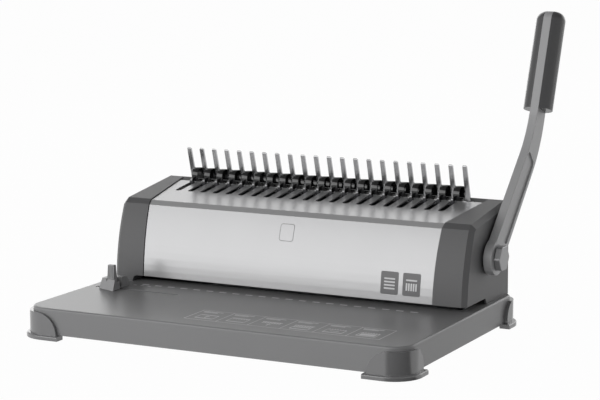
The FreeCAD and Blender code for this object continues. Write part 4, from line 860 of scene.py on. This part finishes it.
# %% Bar signs on the films
SIGN_LOW = 46.0
SIGN_BAR = 1.5
SIGN_CORNER = 0.4
SIGN_PROUD = 0.16
STACK_LEFT = 105.0
STACK_RIGHT = 116.0
HOLE_COUNT = 5
HOLE_LEFT = 127.0
HOLE_PITCH = 2.4
HOLE_WIDE = 1.6
HOLE_HIGH = 53.0
EDGE_LOW = 55.0
sign_boxes = {}
for index in range(4):
    low = SIGN_LOW + 2 * SIGN_BAR * index
    sign_boxes["stack_sign_%d" % index] = (STACK_LEFT, STACK_RIGHT, low, low + SIGN_BAR)
for index in range(HOLE_COUNT):
    left = HOLE_LEFT + HOLE_PITCH * index
    sign_boxes["hole_sign_%d" % index] = (left, left + HOLE_WIDE, SIGN_LOW, HOLE_HIGH)
sign_boxes["hole_sign_edge"] = (HOLE_LEFT, left + HOLE_WIDE, EDGE_LOW, EDGE_LOW + SIGN_BAR)
for name, box in sign_boxes.items():
    film(name, *box, SIGN_CORNER, SIGN_PROUD, pale_ink, "cover_paint")
print("laid", len(sign_boxes), "bar signs on the films")

# %% [markdown]
# ## Inside the machine
# The pieces inside keep their imported meshes and only get a finish. The record says which finish each
# piece takes, so one table from its finishes to the ones made above is enough. Its tool steel is painted
# dark, as the shade in the throat.

# %% Finishes of the hidden pieces
finishes = {
    "frame_steel": plated_sheet, "tool_steel": throat_shade_steel, "bush_bronze": bronze,
    "slider_plastic": slider_plastic, "bright_steel": bolt_zinc, "pad_rubber": pad_rubber,
    "guide_plastic": guide_plastic, "spring_steel": spring_wire, "screw_steel": plated_sheet,
    "base_plastic": table_coat, "cap_plastic": cap_plastic, "foot_plastic": foot_plastic,
    "cover_paint": cover_paint, "lever_paint": lever_paint, "grip_plastic": grip_plastic,
    "comb_plastic": comb_vinyl, "tray_plastic": foot_plastic,
}
for entry in frame["record"]["subparts"]:
    for slot in frame["nodes"][entry["node"]].material_slots:
        slot.material = finishes[entry["material_slot"]]

# %% [markdown]
# ## Camera
# The photograph was taken from the front right, a little above the table, through a long lens. The camera
# stands where the row of tines, the slots and the table edges line up with the picture.

# %% Camera
AZIMUTH = math.radians(26.66)
ELEVATION = math.radians(8.96)
CAMERA_SPOT = (845.7, -1733.2, 413.9)
SENSOR = 36.0
FOCAL_LENGTH = 119.0
back = Vector((math.sin(AZIMUTH) * math.cos(ELEVATION), -math.cos(AZIMUTH) * math.cos(ELEVATION),
               math.sin(ELEVATION)))
right = Vector((math.cos(AZIMUTH), math.sin(AZIMUTH), 0.0))
up = back.cross(right)
lens = bpy.data.cameras.new("long_lens")
lens.sensor_width = SENSOR
lens.lens = FOCAL_LENGTH
lens.clip_end = 20.0
camera = bpy.data.objects.new("camera", lens)
turn = Matrix((right, up, back)).transposed().to_4x4()
camera.matrix_world = Matrix.Translation(place(*CAMERA_SPOT)) @ turn
bpy.context.collection.objects.link(camera)
bpy.context.scene.camera = camera
print("camera at", [round(v, 3) for v in camera.matrix_world.translation])

# %% [markdown]
# ## Studio
# A white sweep is a large plane that looks white to the camera and in reflections, yet still takes a soft
# contact shadow. A dark card lies on it beside the front right foot. Only mirror rays see the card, and it
# gives that foot's round corner its dark band.

# %% Directions and rays
WHITE = (1.0, 1.0, 1.0, 1.0)


def level_way(azimuth):
    """A level direction, with azimuth 0 to the front and 90 degrees to the right."""
    return (math.sin(math.radians(azimuth)), -math.cos(math.radians(azimuth)), 0.0)


def shown_white(tree):
    """1 for camera, mirror and glass rays, and 0 for rays that only carry light to the machine."""
    path = add(tree, "ShaderNodeLightPath")
    first = add(tree, "ShaderNodeMath", {
        0: path.outputs["Is Camera Ray"], 1: path.outputs["Is Glossy Ray"]}, operation="MAXIMUM")
    both = add(tree, "ShaderNodeMath", {
        0: first.outputs[0], 1: path.outputs["Is Transmission Ray"]}, operation="MAXIMUM")
    return both.outputs[0]


# %% Dark card on the floor
FOOT_ROUND = 20.0
CARD_AZIMUTH = 42
CARD_DARK = 0.05
CARD_REACH = (0.26, 0.42)
CARD_EDGE = (0.54, 0.70)
white_sweep = bpy.data.materials.new("white_paper_sweep")
white_sweep.use_nodes = True
tree = white_sweep.node_tree
tree.nodes.clear()
foot_low, foot_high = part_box("front_right_foot")
corner = (foot_high[0] - FOOT_ROUND * MM, foot_low[1] + FOOT_ROUND * MM, 0.0)
from_corner = add(tree, "ShaderNodeVectorMath", {
    0: add(tree, "ShaderNodeTexCoord").outputs["Object"], 1: corner}, operation="SUBTRACT")
heading = add(tree, "ShaderNodeVectorMath", {0: from_corner.outputs["Vector"]}, operation="NORMALIZE")
beside = add(tree, "ShaderNodeVectorMath", {
    0: heading.outputs["Vector"], 1: level_way(CARD_AZIMUTH)}, operation="DOT_PRODUCT")
away = add(tree, "ShaderNodeVectorMath", {0: from_corner.outputs["Vector"]}, operation="LENGTH")
edge = add(tree, "ShaderNodeMapRange", {
    "Value": beside.outputs["Value"], "From Min": CARD_EDGE[0], "From Max": CARD_EDGE[1],
    "To Min": 1.0, "To Max": CARD_DARK})
far = add(tree, "ShaderNodeMapRange", {
    "Value": away.outputs["Value"], "From Min": CARD_REACH[0], "From Max": CARD_REACH[1]})
flag = add(tree, "ShaderNodeMath", {
    0: edge.outputs["Result"], 1: far.outputs["Result"]}, operation="MAXIMUM")
lit = add(tree, "ShaderNodeMath", {
    0: flag.outputs[0], 1: add(tree, "ShaderNodeLightPath").outputs["Is Camera Ray"]}, operation="MAXIMUM")
print("dark card within", CARD_REACH[1], "m of the foot")

# %% Floor
FLOOR_GREY = "bcbcbc"
FLOOR_SIZE = 12.0
WHITE_SHARE = 0.98
matte = add(tree, "ShaderNodeBsdfDiffuse", {"Color": linear(FLOOR_GREY)})
glow = add(tree, "ShaderNodeEmission", {"Color": WHITE, "Strength": lit.outputs[0]})
share = add(tree, "ShaderNodeMath", {0: shown_white(tree), 1: WHITE_SHARE}, operation="MULTIPLY")
mixed = add(tree, "ShaderNodeMixShader", {0: share.outputs[0], 1: matte.outputs[0], 2: glow.outputs[0]})
add(tree, "ShaderNodeOutputMaterial", {"Surface": mixed.outputs[0]})
bpy.ops.mesh.primitive_plane_add(size=FLOOR_SIZE, location=(0, 0, 0))
floor = bpy.context.object
floor.name = "floor"
floor.data.materials.append(white_sweep)
print("floor", FLOOR_SIZE, "m wide")

# %% [markdown]
# The room is white to the camera. To mirror rays it is a bright wall that grows dim towards the ceiling,
# and where it only lights the machine it is half as strong and dims faster. Mirror rays also meet a dark
# card behind the camera and a bright one behind the machine on the left, which gives the far end of the
# table its sheen. A card is where a ray's direction comes close enough to the card's own.

# %% Room
CEILING = {"From Min": 0.12, "From Max": 0.75, "To Min": 1.0, "To Max": 0.28}
DARK_CARD = {"From Min": 0.86, "From Max": 0.96, "To Min": 1.0, "To Max": 0.3}
BRIGHT_CARD = {"From Min": 0.94, "From Max": 0.99, "To Min": 1.0, "To Max": 2.8}
DARK_AZIMUTH = 28
BRIGHT_WAY = (-0.642, 0.766, 0.03)
CEILING_FALL = 2.0
WALL_LIGHT = 0.5

world = bpy.data.worlds.new("studio")
bpy.context.scene.world = world
world.use_nodes = True
tree = world.node_tree
tree.nodes.clear()
toward = add(tree, "ShaderNodeTexCoord").outputs["Generated"]
rise = add(tree, "ShaderNodeSeparateXYZ", {"Vector": toward})
ceiling = add(tree, "ShaderNodeMapRange", {"Value": rise.outputs["Z"], **CEILING}).outputs["Result"]
mirrored = ceiling
for way, card in ((level_way(DARK_AZIMUTH), DARK_CARD), (BRIGHT_WAY, BRIGHT_CARD)):
    near = add(tree, "ShaderNodeVectorMath", {0: toward, 1: way}, operation="DOT_PRODUCT")
    strength = add(tree, "ShaderNodeMapRange", {"Value": near.outputs["Value"], **card})
    mirrored = add(tree, "ShaderNodeMath", {
        0: mirrored, 1: strength.outputs["Result"]}, operation="MULTIPLY").outputs[0]
seen = add(tree, "ShaderNodeMath", {
    0: add(tree, "ShaderNodeLightPath").outputs["Is Camera Ray"], 1: mirrored}, operation="MAXIMUM")
plain = add(tree, "ShaderNodeBackground", {"Color": WHITE, "Strength": seen.outputs[0]})
fall = add(tree, "ShaderNodeMath", {0: ceiling, 1: CEILING_FALL}, operation="POWER")
walls = add(tree, "ShaderNodeMath", {0: fall.outputs[0], 1: WALL_LIGHT}, operation="MULTIPLY")
room = add(tree, "ShaderNodeBackground", {"Color": WHITE, "Strength": walls.outputs[0]})
mixed = add(tree, "ShaderNodeMixShader", {0: shown_white(tree), 1: room.outputs[0], 2: plain.outputs[0]})
add(tree, "ShaderNodeOutputWorld", {"Surface": mixed.outputs[0]})
print("room lit at", WALL_LIGHT)

# %% [markdown]
# Four soft lamps stand in the room. A broad one to the left of the camera lights the fronts, a small one
# high behind gives the deck its sheen, a wide one lights the back, and a dim strip keeps the right side
# from going black.

# %% Lamps
MACHINE = (0, 0, 0.1)


def lamp(name, size, power, spot, target):
    """A rectangular soft lamp: size in metres, power in watts, and where it stands and points."""
    light = bpy.data.lights.new(name, "AREA")
    light.shape = "RECTANGLE"
    light.size = size[0]
    light.size_y = size[1]
    light.energy = power
    source = bpy.data.objects.new(name, light)
    facing = (Vector(target) - Vector(spot)).to_track_quat("-Z", "Y")
    source.matrix_world = Matrix.Translation(spot) @ facing.to_matrix().to_4x4()
    bpy.context.collection.objects.link(source)


lamp("front_softbox", (3.0, 1.7), 33.5, (-0.86, -2.0, 0.75), MACHINE)
lamp("rear_softbox", (1.4, 0.8), 4.4, (-1.08, 1.33, 1.15), MACHINE)
lamp("back_wall_lamp", (2.4, 1.4), 14.0, (0.9, 2.3, 0.9), MACHINE)
lamp("side_strip", (0.5, 1.2), 1.2, (1.6, 0.85, 0.6), (0.1, 0, 0.12))
bpy.context.scene.view_settings.view_transform = "Standard"
print("lamps set")
